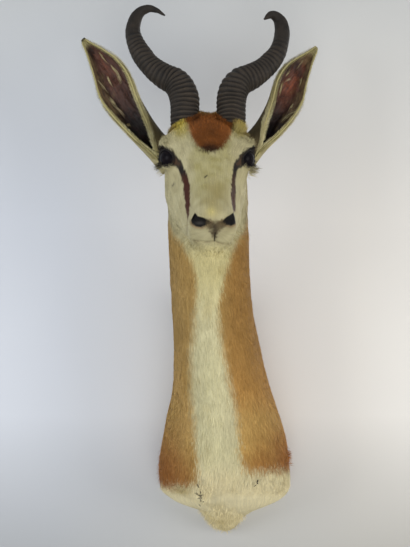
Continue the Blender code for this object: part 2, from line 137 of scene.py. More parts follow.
EAR_THICKNESS = 0.0032
EAR_AXIS_REACH = 0.01
EAR_STEPS = [-0.1, 0, 0.12, 0.25, 0.4, 0.55, 0.68, 0.8, 0.9, 0.965, 1]
EAR_INNER_WIDTHS = [0.015, 0.015, 0.0145, 0.013, 0.0165, 0.025, 0.0232, 0.0154, 0.0082, 0.004, 0.002]
EAR_OUTER_WIDTHS = [0.019, 0.0175, 0.0165, 0.0195, 0.023, 0.0235, 0.016, 0.01, 0.0064, 0.0044, 0.0022]
EAR_DEPTHS = [0.014, 0.0155, 0.0172, 0.0185, 0.0195, 0.019, 0.0165, 0.0115, 0.0065, 0.003, 0.0012]
EAR_INNER_TURNS = [212, 204, 184, 132, 101, 90, 82, 78, 76, 76, 76]
EAR_OUTER_TURNS = [142, 150, 150, 128, 112, 92, 84, 80, 76, 76, 76]
# spread widens an ear's outer half. red_place is where light shines through it, on the chart. Its
# wisps of pale hair run from their roots to their tips, also on the chart.
EARS = {
    "left": {
        "spine": [
            (-0.07, -0.188, 0.364), (-0.089, -0.187, 0.383), (-0.1195, -0.186, 0.424),
            (-0.1505, -0.178, 0.467), (-0.1755, -0.164, 0.505), (-0.1935, -0.15, 0.533),
        ],
        "facing": (-0.42, -0.9, 0.05),
        "side": -1,
        "spread": 1.07,
        "red_place": (106, 68),
        "red_share": 0.35,
        "furry_tip": False,
        "furry_foot": (0.15, 0.1),
        "wisps": [
            ((109, 97), (115, 106)), ((114, 105), (121, 115)), ((111.5, 65), (118, 71)),
            ((117, 70), (122.5, 80)), ((97, 80), (105, 91)), ((99, 52), (107, 60)),
            ((102, 90), (107, 97)), ((107, 76), (112, 86)),
        ],
    },
    "right": {
        "spine": [
            (0.019, -0.186, 0.37), (0.035, -0.184, 0.389), (0.0605, -0.176, 0.424),
            (0.0855, -0.16, 0.464), (0.1065, -0.138, 0.5), (0.123, -0.118, 0.529),
        ],
        "facing": (0.48, -0.86, 0.05),
        "side": 1,
        "spread": 0.93,
        "red_place": (292, 84),
        "red_share": 0.95,
        "furry_tip": True,
        "furry_foot": (0.09, 0.05),
        "wisps": [
            ((290, 79), (281, 83)), ((282, 82), (278.5, 92)), ((300.5, 79), (300, 88)),
            ((293.5, 103), (290.5, 112)), ((285, 116.5), (296, 113)), ((280, 122), (287, 115)),
            ((289, 70), (281, 74)), ((303, 60), (296, 66)), ((276, 96), (273, 105)),
        ],
    },
}

RING_DEPTH = 0.0012
FIRST_RING_STEP = 0.0045
LAST_RING_STEP = 0.0095
RINGED_SHARE = 0.72
# Places up each horn's middle line, with the radius there.
HORNS = {
    "left": [
        (-0.0545, -0.213, 0.398, 0.018), (-0.0555, -0.211, 0.42, 0.018), (-0.057, -0.204, 0.446, 0.0186),
        (-0.0665, -0.196, 0.465, 0.0178), (-0.0835, -0.188, 0.476, 0.016),
        (-0.0995, -0.177, 0.4898, 0.0142), (-0.1125, -0.163, 0.5075, 0.0132),
        (-0.122, -0.15, 0.526, 0.0119), (-0.1268, -0.139, 0.545, 0.0103), (-0.124, -0.133, 0.563, 0.0084),
        (-0.1168, -0.132, 0.5735, 0.0066), (-0.1055, -0.134, 0.5775, 0.005),
        (-0.095, -0.138, 0.574, 0.0034), (-0.0838, -0.144, 0.5658, 0.001),
    ],
    "right": [
        (0.003, -0.213, 0.4, 0.0182), (0.0035, -0.211, 0.422, 0.0182), (0.005, -0.204, 0.448, 0.0188),
        (0.0135, -0.196, 0.465, 0.0184), (0.029, -0.188, 0.4745, 0.0166),
        (0.0442, -0.177, 0.4855, 0.0148), (0.0558, -0.166, 0.498, 0.0134),
        (0.0655, -0.154, 0.5125, 0.012), (0.0716, -0.142, 0.53, 0.0109), (0.0742, -0.134, 0.546, 0.0102),
        (0.0725, -0.13, 0.559, 0.009), (0.0668, -0.131, 0.567, 0.0072), (0.0588, -0.136, 0.5685, 0.0052),
        (0.0497, -0.146, 0.5605, 0.0014),
    ],
}

EYE_RADIUS = 0.0150
EYE_PLACE = (0.0045, 0.0438, 0.0015)
# The opening between the lids, as angles from the eye's gaze.
OPENING_FRONT = math.radians(60)
OPENING_BACK = math.radians(50)
OPENING_TOP = math.radians(44)
OPENING_BOTTOM = math.radians(35)
EYE_DEPTH = 0.0022
LID_THICKNESS = 0.0017
LID_RIM_WIDTH = 0.0011
LID_RIM_HEIGHT = 0.0009

BOARD_THICKNESS = 0.018
BOARD_GAP = 0.0003
BOARD_MIDDLE_X = -0.003
BOARD_HALF_OUTLINE = [
    (0, 0.112), (0.022, 0.108), (0.04, 0.094), (0.053, 0.07), (0.062, 0.04), (0.07, 0), (0.074, -0.04),
    (0.073, -0.068), (0.064, -0.084), (0.044, -0.096), (0.024, -0.11), (0.012, -0.128), (0, -0.136),
]

# ------------------------------------------------------------------ fineness of the visible mesh

HEAD_ROWS = 210
NECK_ROWS = 180
HIDE_COLUMNS = 216
EAR_ROWS = 96
EAR_COLUMNS = 64
HORN_ROWS = 460
HORN_COLUMNS = 44
LID_STEPS = 60
FLOOR_STEPS = 12
PATCH_STEP = 0.004

# ------------------------------------------------------------------ hair

COAT_LAYERS = 3
COAT_HAIRS = 80000
HORN_FOOT_HAIRS = 4200
LASHES = 90
WHISKERS = 46
BURR_STRANDS = 5
WISP_HAIRS = 9
# The coat's length at some of the rings, counted from the nose.
LENGTH_RINGS = [0, 3, 7, 9, 11, 13, 16, 22, 30, 34, 39]
RING_LENGTHS = [0.0022, 0.003, 0.004, 0.005, 0.006, 0.007, 0.009, 0.01, 0.012, 0.013, 0.008]
FOREHEAD_LENGTH = 0.011
CHEST_LENGTH = 0.014
TIP_LENGTH = 0.0042
# How far a hair is rolled about its own way, what is left of its lift at its tip, how deep its root
# lies, and how dark its root and how light its tip is.
HAIR_ROLL = 0.22
HAIR_BEND = 0.25
ROOT_DEPTH = 0.0004
ROOT_SHADE = 0.86
TIP_SHADE = 1.06
# The skin is mapped round a cylinder of this radius, so that streaks run along the hair.
LIE_RADIUS = 0.07

# ------------------------------------------------------------------ view, stage and lights

VIEW_X = -0.030
VIEW_Y = -1.5
VIEW_Z = 0.22
CHART_WIDTH = 410
CHART_HEIGHT = 547
CHART_SCALE = 1012
SENSOR = 36

WALL_Y = 0.0012
WALL_TOP = 2.6
WALL_HALF_WIDTH = 3.0
FLOOR_Z = -1.05
FLOOR_FRONT = -4.0
FLOOR_BEND = 0.35
ROOM_LIGHT = (0.86, 0.90, 1.0, 1)
ROOM_STRENGTH = 0.56
# Each light's place, what it points at, its width, its power and its colour.
LIGHTS = {
    "left_window": ((-1.9, -1.7, 0.5), (-0.1, 0, 0.15), 1.3, 25, (0.97, 0.985, 1.0)),
    "right_window": ((2.0, -1.7, 0.35), (0.1, 0, 0.15), 1.3, 26, (1.0, 0.975, 0.94)),
    "front_fill": ((0.1, -2.3, -0.70), (0, 0, 0.1), 1.6, 15, (1.0, 0.985, 0.955)),
    "back_room": ((0.9, 2.0, 0.9), (0, 0, 0.1), 1.6, 22, (0.98, 0.99, 1.0)),
}

# ------------------------------------------------------------------ places on the chart

# Outlines and lines as (x, y): of the muzzle first, then of the hair's colours.
NOSTRILS = [
    [
        (195, 212.6), (197.8, 216.1), (203.3, 217.6), (207.8, 219.8), (211.2, 222.4), (206.9, 225.2),
        (201.6, 227.4), (196.2, 226.6), (191.8, 223.8), (190.9, 220), (192.8, 216.1),
    ],
    [
        (233.3, 212.4), (236.4, 219.4), (235.4, 224), (231.1, 226), (225.4, 224.8), (220.4, 222.6),
        (226.4, 217), (230, 214.8),
    ],
]
PHILTRUM = [(215.2, 231.5), (214.8, 236), (214.4, 240.8)]
MOUTH = [
    (193.5, 240.4), (199, 241.4), (205, 242.2), (210, 242.2), (215, 241.4), (220, 243.2), (225, 244.4),
    (230, 244), (234.5, 242.8),
]
SEPTUM = [
    (207.5, 220.8), (215, 222.8), (222.5, 220), (225.5, 225.5), (219.6, 230.6), (215.8, 237.6),
    (213.4, 237.6), (209.8, 230.6), (206.2, 226.2),
]
MUZZLE_FRONT_Y = -0.300
# The lips on the sides of the muzzle, as (along, up) in the head.
LIP_PATH = [(0.127, -0.047), (0.118, -0.052), (0.1, -0.053), (0.08, -0.05), (0.062, -0.046)]

RUST_PATCH = [
    (178, 108), (183.6, 118), (186.4, 125), (190.4, 132.8), (193.8, 138.3), (198, 144.5), (201.5, 150),
    (206, 150.6), (210.6, 150), (216, 151.6), (221.1, 147.2), (226.7, 141.2), (231.6, 132.8),
    (234.6, 125), (236.8, 117), (242, 107), (214, 100), (192, 102),
]
WHITE_FRONT = [
    (163.3, 171.7), (163.9, 182.8), (165, 199.4), (166.7, 216), (170, 225), (175.6, 236), (182.2, 242.8),
    (186.7, 249), (189.6, 255), (192.2, 261), (195, 268), (197.3, 283), (195.8, 300), (194, 325),
    (191, 350), (190.4, 383), (191.7, 400), (194.2, 416.7), (196, 441.7), (198.3, 466.7), (197.5, 479),
    (187, 482.5), (175, 488), (166.5, 493), (140, 497), (140, 560), (310, 560), (310, 465),
    (288.3, 466.5), (266.7, 468.3), (253.3, 468), (243.3, 464.5), (240, 455), (238.3, 433), (235.8, 413),
    (231.7, 391.7), (227.5, 375), (223.3, 350), (219.2, 325), (218, 305), (221.7, 288.3), (225.5, 272),
    (229.8, 259), (232.2, 249.4), (236.7, 242.8), (241.1, 235), (245.6, 225), (247.8, 216),
    (248.6, 199.4), (249, 182.8), (249, 172), (250, 60), (160, 60),
]
STRIPES = [
    [
        (179.8, 165), (182.6, 166.5), (185.2, 171.5), (188.4, 178), (189.4, 186), (189.8, 196),
        (189.8, 206), (189, 214), (187.8, 219.5), (186.6, 213.5), (185.2, 204), (184, 194), (183.2, 184),
        (181.2, 176), (179, 171),
    ],
    [
        (235.6, 163), (238, 166), (236.6, 172), (235.4, 180), (235.6, 190), (235.6, 202), (235.4, 211),
        (233.8, 212.5), (231.8, 204), (231, 194), (231.4, 184), (232.4, 175), (233.2, 168),
    ],
]
# A line of painted shade down the muzzle's left edge, where its front turns to the cheek.
PAINTED_MUZZLE_EDGE_SHADE = [(187.6, 217), (187.1, 224), (187.1, 234)]
TEAR_PATCHES = [
    [
        (172, 152), (174.5, 154), (178, 158.6), (182.4, 163.4), (182.6, 168), (181.4, 173), (179.4, 170),
        (176.6, 166.4), (171.5, 165.4),
    ],
    [
        (243, 152.5), (240.6, 154.6), (238, 158.6), (234.6, 163.6), (234, 169), (235.4, 171.5),
        (238.2, 167.6), (243, 165.6),
    ],
]
# Short dark scratches on the face, each with its width, and dark strands in the chest's hair.
CRACKS = [([(207, 175.6), (204.8, 177.4)], 0.7), ([(174, 183.8), (172, 186.6)], 0.6)]
BURRS = [
    [(200, 481), (201.2, 486), (200.6, 490), (201.6, 494), (201.2, 499), (201.8, 503)],
    [(195.6, 489.6), (198.6, 492), (201.4, 493), (204, 494)],
    [(197.6, 495.4), (200.6, 493), (204.4, 489.6)],
    [(200.8, 492.6), (203, 496.6), (203.6, 499.4)],
    [(256.6, 475.4), (255, 479), (254.4, 481), (252.4, 483.6)],
    [(254.8, 479.4), (256.6, 481)],
]

# Each tuft's middle and reach on the chart, the way its hair points, then the hair's length, its
# lift off the skin, the spread of its direction and the number of hairs.
TUFTS = [
    ((166, 141), (4, 4), (-0.6, -0.35, -0.3), 0.0045, 0.05, 0.45, 350),
    ((249.5, 140), (4, 4), (0.6, -0.35, -0.3), 0.0045, 0.05, 0.45, 350),
    ((176, 230), (5, 9), (-0.05, 0.05, -1), 0.0055, 0.04, 0.25, 350),
    ((190, 247), (8, 6), (-0.05, 0, -1), 0.006, 0.04, 0.25, 600),
    ((214, 253), (14, 5), (0, 0, -1), 0.006, 0.04, 0.25, 900),
    ((238, 246), (8, 6), (0.05, 0, -1), 0.006, 0.04, 0.25, 600),
    ((247, 229), (4, 9), (0.05, 0.05, -1), 0.0055, 0.04, 0.25, 300),
    ((160, 172), (3, 5), (-0.85, -0.1, -0.45), 0.01, 0.25, 0.35, 160),
    ((252, 171), (3, 5), (0.9, -0.1, 0), 0.011, 0.25, 0.45, 160),
    ((209, 117), (13, 5), (0, -0.3, 0.8), 0.0045, 0.15, 0.4, 1600),
    ((209, 136), (12, 9), (0, -0.45, -1), 0.0085, 0.25, 0.25, 2600),
    ((181, 128), (6, 7), (-0.35, -0.35, -0.75), 0.006, 0.05, 0.35, 900),
    ((240, 127), (6, 7), (0.35, -0.35, -0.75), 0.006, 0.05, 0.35, 900),
    ((240.5, 128), (5, 3.5), (0.1, -0.35, 0.9), 0.0105, 0.6, 0.35, 900),
    ((221, 518), (16, 9), (0, -0.15, -1), 0.0065, 0.15, 0.5, 1800),
    ((288, 454), (3, 6), (0.8, -0.1, -0.35), 0.0065, 0.4, 0.4, 200),
    ((161, 462), (3, 16), (-0.35, -0.1, -0.95), 0.008, 0.2, 0.3, 400),
    ((180, 486), (8, 3), (0.1, -0.2, -0.95), 0.006, 0.35, 0.6, 700),
    ((206, 490), (5, 6), (0, -0.2, -0.95), 0.007, 0.3, 0.6, 400),
]

# Painted shade, olive-brown, beside the lower part of the left ear's opening.
LEFT_EAR_SHADE = [
    (144, 105), (145, 112), (147, 120), (149, 128), (152.5, 136), (154, 143), (166, 143), (160, 128),
    (153, 112), (149, 105),
]

# ------------------------------------------------------------------ colours

def srgb(red, green, blue):
    """A linear colour from 0 to 255 screen values."""
    return np.array([((value / 255 + 0.055) / 1.055) ** 2.4 for value in (red, green, blue)])


CREAM = srgb(208, 201, 158)
WHITE_HAIR = srgb(202, 194, 154)
THROAT_HAIR = srgb(198, 188, 138)
CHEST_HAIR = srgb(226, 214, 172)
FACE_HAIR = srgb(163, 154, 116)
FACE_YELLOW = srgb(158, 149, 98)
YELLOW_HAIR = srgb(196, 178, 82)
BRIDGE_TINT = srgb(146, 132, 80)
TAN = srgb(158, 127, 69)
TAN_LIGHT = srgb(172, 141, 85)
TAN_RED = srgb(160, 121, 64)
NAPE_BROWN = srgb(122, 90, 52)
RUST = srgb(146, 86, 38)
RUST_BROWN = srgb(112, 68, 32)
RUST_DARK = srgb(58, 36, 22)
FLANK_RUST = srgb(160, 110, 56)
STRIPE = srgb(64, 26, 8)
STRIPE_GREY = srgb(60, 38, 22)
TEAR_BROWN = srgb(64, 40, 26)
SEPTUM_BROWN = srgb(86, 72, 48)
SEPTUM_DARK = srgb(50, 41, 29)
NOSTRIL_BROWN = srgb(124, 100, 70)
# The grey of a painted highlight inside the left nostril.
NOSTRIL_PAINTED_HIGHLIGHT = srgb(66, 62, 58)
DARK_HAIR = srgb(27, 22, 18)
BLACK_SKIN = srgb(13, 11, 10)
GREY_NOSE = srgb(98, 86, 60)
DIRT = srgb(170, 150, 90)
EAR_BACK = srgb(152, 134, 90)
EAR_BACK_SHADE = srgb(92, 80, 52)
EAR_RIM = srgb(178, 168, 116)
EAR_SKIN = srgb(72, 49, 40)
EAR_SKIN_RED = srgb(126, 68, 44)
EAR_DARK_SKIN_AND_SHADE = srgb(24, 17, 13)
EAR_FUZZ = srgb(112, 92, 62)
EAR_WISP = srgb(168, 150, 122)
LEFT_EAR_PAINTED_SHADE = srgb(84, 73, 46)
FORM_TAN = srgb(178, 158, 118)

rng = np.random.default_rng(20)
LATTICE = rng.random((64, 64, 64))


# ------------------------------------------------------------------ numbers

def ramp(low, high, value):
    """0 below low, 1 above high and smooth between them. low may be the greater."""
    share = np.clip((np.asarray(value) - low) / (high - low), 0, 1)
    return share * share * (3 - 2 * share)


def bell(*terms):
    """1 in the middle, falling off to 0 around it. Each term is a value, its middle and its reach."""
    total = 0
    for value, middle, reach in terms:
        total = total - ((value - middle) / reach) ** 2
    return np.exp(total)


def mix(first, second, share):
    """From first to second by share. Either may be colours, whose last axis is 3 long."""
    share = np.asarray(share)
    if share.ndim and 3 in (*np.shape(first)[-1:], *np.shape(second)[-1:]):
        share = share[..., None]
    return first + (second - first) * share


def layered(colour, *layers):
    """The colour under layers, each of which is a tint and its share."""
    for tint, share in layers:
        colour = mix(colour, tint, share)
    return colour


def unit(vectors):
    return vectors / np.maximum(np.linalg.norm(vectors, axis=-1, keepdims=True), 1e-12)


def split(vectors):
    """The vectors' first parts, their second parts and so on."""
    return np.moveaxis(vectors, -1, 0)


def stack_parts(parts):
    """Hairs in several groups as one group."""
    return [np.concatenate(group) for group in zip(*parts)]


def noise(points, size, seed=0):
    """Smooth noise from -1 to 1, whose lumps are about this size."""
    scaled = np.asarray(points) / size + 9.7 * (seed + 1)
    cell = np.floor(scaled).astype(int)
    part = scaled - cell
    part = part * part * (3 - 2 * part)
    total = np.zeros(scaled.shape[:-1])
    for corner in itertools.product((0, 1), repeat=3):
        weight = np.prod(np.where(corner, part, 1 - part), axis=-1)
        at = (cell + corner) & 63
        total += weight * LATTICE[at[..., 0], at[..., 1], at[..., 2]]
    return 2 * total - 1


def chart(points):
    """Where points in space lie on the chart."""
    x, y, z = split(np.asarray(points))
    scale = CHART_SCALE / (y - VIEW_Y)
    across = CHART_WIDTH / 2 + (x - VIEW_X) * scale
    return np.stack([across, CHART_HEIGHT / 2 - (z - VIEW_Z) * scale], -1)


def chart_unit(point):
    """A unit of the chart in metres, at a point's distance."""
    return (point[1] - VIEW_Y) / CHART_SCALE


def line_distance(places, line, closed=False):
    """The distance on the chart to a line through these points."""
    line = np.asarray(line, float)
    ends = np.roll(line, -1, axis=0) if closed else line[1:]
    best = np.full(places.shape[:-1], 1e9)
    for start, end in zip(line, ends):
        run = end - start
        share = np.clip(((places - start) @ run) / max(run @ run, 1e-12), 0, 1)
        best = np.minimum(best, np.linalg.norm(places - start - share[..., None] * run, axis=-1))
    return best


def outline_distance(places, outline):
    """The distance on the chart to an outline, below 0 inside it."""
    outline = np.asarray(outline, float)
    x, y = split(places)
    inside = np.zeros(x.shape, bool)
    for (x0, y0), (x1, y1) in zip(outline, np.roll(outline, -1, axis=0)):
        if y0 != y1:
            crosses = (y0 > y) != (y1 > y)
            inside ^= crosses & (x < x0 + (y - y0) * (x1 - x0) / (y1 - y0))
    distance = line_distance(places, outline, closed=True)
    return np.where(inside, -distance, distance)


def head_axes():
    forward = np.array([
        math.sin(HEAD_YAW) * math.cos(HEAD_PITCH),
        -math.cos(HEAD_YAW) * math.cos(HEAD_PITCH),
        -math.sin(HEAD_PITCH),
    ])
    side = np.array([math.cos(HEAD_YAW), math.sin(HEAD_YAW), 0])
    return forward, side, np.cross(forward, side)


FORWARD, SIDE, CROWN = head_axes()
HEAD_TO_WORLD = np.stack([FORWARD, SIDE, CROWN])

EYE_GAZE = unit(np.array((0.50, 0.84, 0.30)))
EYE_FRONT = unit(np.array((0.816, -0.487, 0.266)))
EYE_FRONT = unit(EYE_FRONT - EYE_GAZE * (EYE_FRONT @ EYE_GAZE))
EYE_UP = np.cross(EYE_FRONT, EYE_GAZE)
EYE_UP = EYE_UP if EYE_UP[2] > 0 else -EYE_UP


def head_point(along, sideways, up):
    return EYE_MIDPOINT + FORWARD * along + SIDE * sideways + CROWN * up


def in_head(points):
    """(along, sideways, up) of points in space."""
    return (np.asarray(points) - EYE_MIDPOINT) @ np.stack([FORWARD, SIDE, CROWN], 1)


def catmull_rom(share):
    return np.stack([
        -0.5 * share + share**2 - 0.5 * share**3,
        1 - 2.5 * share**2 + 1.5 * share**3,
        0.5 * share + 2 * share**2 - 1.5 * share**3,
        -0.5 * share**2 + 0.5 * share**3,
    ], -1)


def b_spline(share):
    return np.stack([
        (1 - share) ** 3,
        3 * share**3 - 6 * share**2 + 4,
        3 * (1 - share) ** 3 - 6 * (1 - share) ** 2 + 4,
        share**3,
    ], -1) / 6


def along_curve(points, places, blend=catmull_rom):
    """The points at these places, from 0 to 1, on an open curve of points at even steps."""
    points = np.asarray(points, float)
    padded = np.concatenate([[2 * points[0] - points[1]], points, [2 * points[-1] - points[-2]]])
    scaled = np.clip(places, 0, 1) * (len(points) - 1)
    index = np.minimum(scaled.astype(int), len(points) - 2)
    weights = blend(scaled - index)
    return sum(weights[:, step].reshape(-1, *[1] * (points.ndim - 1)) * padded[index + step]
               for step in range(4))


def profile(steps, values, places):
    """The values at these places, smoothly between the values at the steps."""
    steps = np.asarray(steps)
    index = np.clip(np.searchsorted(steps, places) - 1, 0, len(steps) - 2)
    share = (places - steps[index]) / (steps[index + 1] - steps[index])
    return along_curve(values, (index + share) / (len(steps) - 1))


# ------------------------------------------------------------------ meshes

def mesh_object(name, points, faces, materials, smooth=True):
    """An object from points and faces that all have the same number of corners."""
    mesh = bpy.data.meshes.new(name)
    faces = np.asarray(faces, np.int32)
    mesh.vertices.add(len(points))
    mesh.vertices.foreach_set("co", np.asarray(points, np.float32).ravel())
    mesh.loops.add(faces.size)
    mesh.loops.foreach_set("vertex_index", faces.ravel())
    mesh.polygons.add(len(faces))
    mesh.polygons.foreach_set("loop_start", np.arange(len(faces), dtype=np.int32) * faces.shape[1])
    mesh.update(calc_edges=True)
    mesh.validate()
    mesh.polygons.foreach_set("use_smooth", np.full(len(mesh.polygons), smooth))
    for its_material in materials:
        mesh.materials.append(its_material)
    return linked(name, mesh)


def linked(name, data):
    obj = bpy.data.objects.new(name, data)
    bpy.context.scene.collection.objects.link(obj)
    return obj


def paint(obj, name, colours):
    """Stores a colour for each point of the mesh."""
    layer = obj.data.color_attributes.new(name, "FLOAT_COLOR", "POINT")
    flat = np.ones((len(obj.data.vertices), 4), np.float32)
    flat[:, :3] = colours
    layer.data.foreach_set("color", flat.ravel())


def store(obj, name, kind, values):
    """Stores a FLOAT or a FLOAT_VECTOR for each point of the mesh."""
    layer = obj.data.attributes.new(name, kind, "POINT")
    field = "value" if kind == "FLOAT" else "vector"
    layer.data.foreach_set(field, np.asarray(values, np.float32).ravel())


@contextmanager
def edited(mesh):
    """The mesh's faces, edges and verts to change. Its faces all point out of it afterwards."""
    bm = bmesh.new()
    bm.from_mesh(mesh)
    yield bm
    bmesh.ops.recalc_face_normals(bm, faces=bm.faces)
    bm.to_mesh(mesh)
    bm.free()


def turn_outwards(obj):
    with edited(obj.data):
        pass


def grid_faces(rows, columns, closed):
    """The quads of a grid of points, row by row. A closed grid joins its last column to its first."""
    count = columns if closed else columns - 1
    row, column = np.meshgrid(np.arange(rows - 1), np.arange(count), indexing="ij")
    here, after = row * columns + column, row * columns + (column + 1) % columns
    return np.stack([here, after, after + columns, here + columns], -1).reshape(-1, 4)


def finish_piece(obj, slot, *nodes):
    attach(obj, "root")
    if nodes:
        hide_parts(*nodes)


# ------------------------------------------------------------------ materials

class Nodes:
    """A short way to write a material's nodes."""

    def __init__(self, name):
        self.material = bpy.data.materials.new(name)
        self.material.use_nodes = True
        self.tree = self.material.node_tree
        self.tree.nodes.clear()
        self.output = self.add("ShaderNodeOutputMaterial")
        self.shader = self.add("ShaderNodeBsdfPrincipled")
        self.feed(self.output.inputs["Surface"], self.shader.outputs[0])

    def add(self, kind, settings=(), **values):
        node = self.tree.nodes.new(kind)
        for key, value in dict(settings).items():
            setattr(node, key, value)
        for key, value in values.items():
            self.feed(node.inputs[key.replace("_", " ")], value)
        return node

    def feed(self, put, value):
        if isinstance(value, bpy.types.NodeSocket):
            self.tree.links.new(value, put)
        elif put.type == "RGBA" and len(value) == 3:
            put.default_value = (*value, 1)
        else:
            put.default_value = value

    def attribute(self, name, kind="Color"):
        return self.add("ShaderNodeAttribute", {"attribute_name": name}).outputs[kind]

    def place(self, stretch=(1, 1, 1)):
        """The point's place in the object, with each axis multiplied."""
        found = self.add("ShaderNodeTexCoord").outputs["Object"]
        return self.add("ShaderNodeMapping", Vector=found, Scale=stretch).outputs["Vector"]

    def noise(self, vector, scale, detail=4.0, roughness=0.55):
        return self.add("ShaderNodeTexNoise", Vector=vector, Scale=scale, Detail=detail,
                        Roughness=roughness).outputs["Fac"]

    def span(self, value, low, high, to_low=0.0, to_high=1.0):
        return self.add("ShaderNodeMapRange", Value=value, From_Min=low, From_Max=high, To_Min=to_low,
                        To_Max=to_high).outputs["Result"]

    def maths(self, operation, first, second):
        node = self.add("ShaderNodeMath", {"operation": operation})
        self.feed(node.inputs[0], first)
        self.feed(node.inputs[1], second)
        return node.outputs[0]

    def blend(self, first, second, share, how="MIX"):
        node = self.add("ShaderNodeMix", {"data_type": "RGBA", "blend_type": how})
        for index, value in ((0, share), (6, first), (7, second)):
            self.feed(node.inputs[index], value)
        return node.outputs[2]

    def shaded(self, colour, shade):
        grey = self.add("ShaderNodeCombineColor", Red=shade, Green=shade, Blue=shade).outputs[0]
        return self.blend(colour, grey, 1.0, "MULTIPLY")

    def finish(self, colour, roughness, height=None, strength=0.5, distance=0.001, **values):
        self.feed(self.shader.inputs["Base Color"], colour)
        self.feed(self.shader.inputs["Roughness"], roughness)
        for key, value in values.items():
            self.shader.inputs[key.replace("_", " ")].default_value = value
        if height is not None:
            bump = self.add("ShaderNodeBump", Height=height, Strength=strength, Distance=distance)
            self.feed(self.shader.inputs["Normal"], bump.outputs[0])
        return self.material


def hide_material():
    """Short hair over skin: the markings, streaked along the way the hair lies."""
    nodes = Nodes("hide_coat")
    streaks = nodes.noise(nodes.attribute("strand", "Vector"), 1.0, 3.0, 0.6)
    colour = nodes.shaded(nodes.attribute("marking"), nodes.span(streaks, 0.3, 0.7, 0.82, 1.08))
    rough = nodes.span(streaks, 0.2, 0.8, 0.75, 0.95)
    return nodes.finish(colour, rough, streaks, 0.6, 0.0008, Specular_IOR_Level=0.25)


def hair_material():
    """Single hairs, each in its own colour."""
    nodes = Nodes("hair_strands")
    rough = nodes.span(nodes.noise(nodes.place(), 220.0, 2.0), 0.3, 0.7, 0.54, 0.74)
    return nodes.finish(nodes.attribute("hair"), rough, Specular_IOR_Level=0.12)


def horn_material():
    """Dark horn with dust on its ridges and fine lengthwise cracks."""
    nodes = Nodes("horn_keratin")
    ridge = nodes.attribute("ridge", "Fac")
    cracks = nodes.noise(nodes.attribute("grain", "Vector"), 1.0, 5.0, 0.65)
    clouds = nodes.noise(nodes.place(), 60.0, 4.0)
    base = nodes.blend(srgb(27, 23, 18), srgb(47, 40, 32), nodes.span(clouds, 0.35, 0.7))
    worn = nodes.span(cracks, 0.35, 0.65, 0.15, 0.8)
    dusty = nodes.maths("MULTIPLY", nodes.span(ridge, 0.45, 1.0), worn)
    colour = nodes.blend(base, srgb(70, 60, 47), dusty)
    colour = nodes.blend(colour, srgb(16, 12, 10), nodes.span(ridge, 0.05, 0.4, 0.75, 0.0))
    rough = nodes.span(cracks, 0.3, 0.7, 0.5, 0.75)
    return nodes.finish(colour, rough, cracks, 0.6, 0.0007, Specular_IOR_Level=0.25)


def ear_skin_material():
    """Dried skin inside the ear: wrinkled, dark red-brown, with a dull shine, painted shade in the
    wrinkles' creases and painted light on their ridges.
    """
    nodes = Nodes("ear_inner_skin")
    wrinkles = nodes.noise(nodes.attribute("strand", "Vector"), 1.0, 5.0, 0.6)
    blotches = nodes.noise(nodes.place(), 130.0, 3.0)
    # Painted shade and light: the colour goes with the wrinkles' height, from half as bright in the
    # creases to 1.4 times on the ridges.
    colour = nodes.shaded(nodes.attribute("marking"), nodes.span(wrinkles, 0.35, 0.65, 0.5, 1.4))
    colour = nodes.blend(colour, srgb(60, 34, 28), nodes.span(blotches, 0.5, 0.75, 0.0, 0.6))
    rough = nodes.span(wrinkles, 0.3, 0.7, 0.45, 0.7)
    return nodes.finish(colour, rough, wrinkles, 0.9, 0.0016, Specular_IOR_Level=0.3)


def eye_material():
    """A glass eye: almost black, and a shade browner in places."""
    nodes = Nodes("eye_glass_dark")
    iris = nodes.span(nodes.noise(nodes.place(), 300.0, 3.0), 0.3, 0.7)
    colour = nodes.blend(srgb(12, 12, 16), srgb(26, 21, 22), iris)
    rough = nodes.span(iris, 0.0, 1.0, 0.16, 0.24)
    return nodes.finish(colour, rough, IOR=1.14, Specular_IOR_Level=0.3)


def lid_material():
    """Bare dark skin at the lids."""
    nodes = Nodes("bare_dark_skin")
    pores = nodes.noise(nodes.place(), 900.0, 4.0)
    colour = nodes.blend(srgb(14, 11, 10), srgb(36, 27, 22), nodes.span(pores, 0.4, 0.7))
    rough = nodes.span(pores, 0.3, 0.7, 0.55, 0.75)
    return nodes.finish(colour, rough, pores, 0.4, 0.0004, Specular_IOR_Level=0.2)


def wood_material():
    """A plain board with straight upright grain."""
    nodes = Nodes("board_pine")
    bent = nodes.maths("MULTIPLY", nodes.noise(nodes.place((1, 1, 0.25)), 9.0, 3.0), 26.0)
    place = nodes.add("ShaderNodeSeparateXYZ", Vector=nodes.place()).outputs
    rings = nodes.maths("ADD", nodes.maths("MULTIPLY", place["X"], 260.0), bent)
    wave = nodes.maths("SINE", rings, 0.0)
    fibre = nodes.noise(nodes.place((1, 1, 0.03)), 700.0, 4.0)
    colour = nodes.blend(srgb(196, 162, 112), srgb(172, 132, 84), nodes.span(wave, -1.0, 1.0, 0.0, 0.8))
    colour = nodes.blend(colour, srgb(140, 104, 66), nodes.span(fibre, 0.5, 0.75, 0.0, 0.5))
    rough = nodes.span(fibre, 0.3, 0.7, 0.55, 0.8)
    return nodes.finish(colour, rough, fibre, 0.25, 0.0003, Specular_IOR_Level=0.3)


def form_material():
    """The pasteboard form and the raw side of the skin, seen at the back."""
    nodes = Nodes("form_back")
    lumps = nodes.noise(nodes.place(), 45.0, 5.0)
    fibre = nodes.noise(nodes.place((1, 1, 0.4)), 420.0, 4.0)
    stained = nodes.span(lumps, 0.45, 0.75, 0.0, 0.7)
    colour = nodes.blend(nodes.attribute("marking"), srgb(120, 98, 68), stained)
    rough = nodes.span(fibre, 0.3, 0.7, 0.8, 0.95)
    return nodes.finish(colour, rough, fibre, 0.6, 0.0012, Specular_IOR_Level=0.2)


HIDE = hide_material()
HAIR = hair_material()
HORN = horn_material()
EAR_INSIDE = ear_skin_material()
EYE = eye_material()
LID = lid_material()
FORM = form_material()


# ------------------------------------------------------------------ the skin's shape

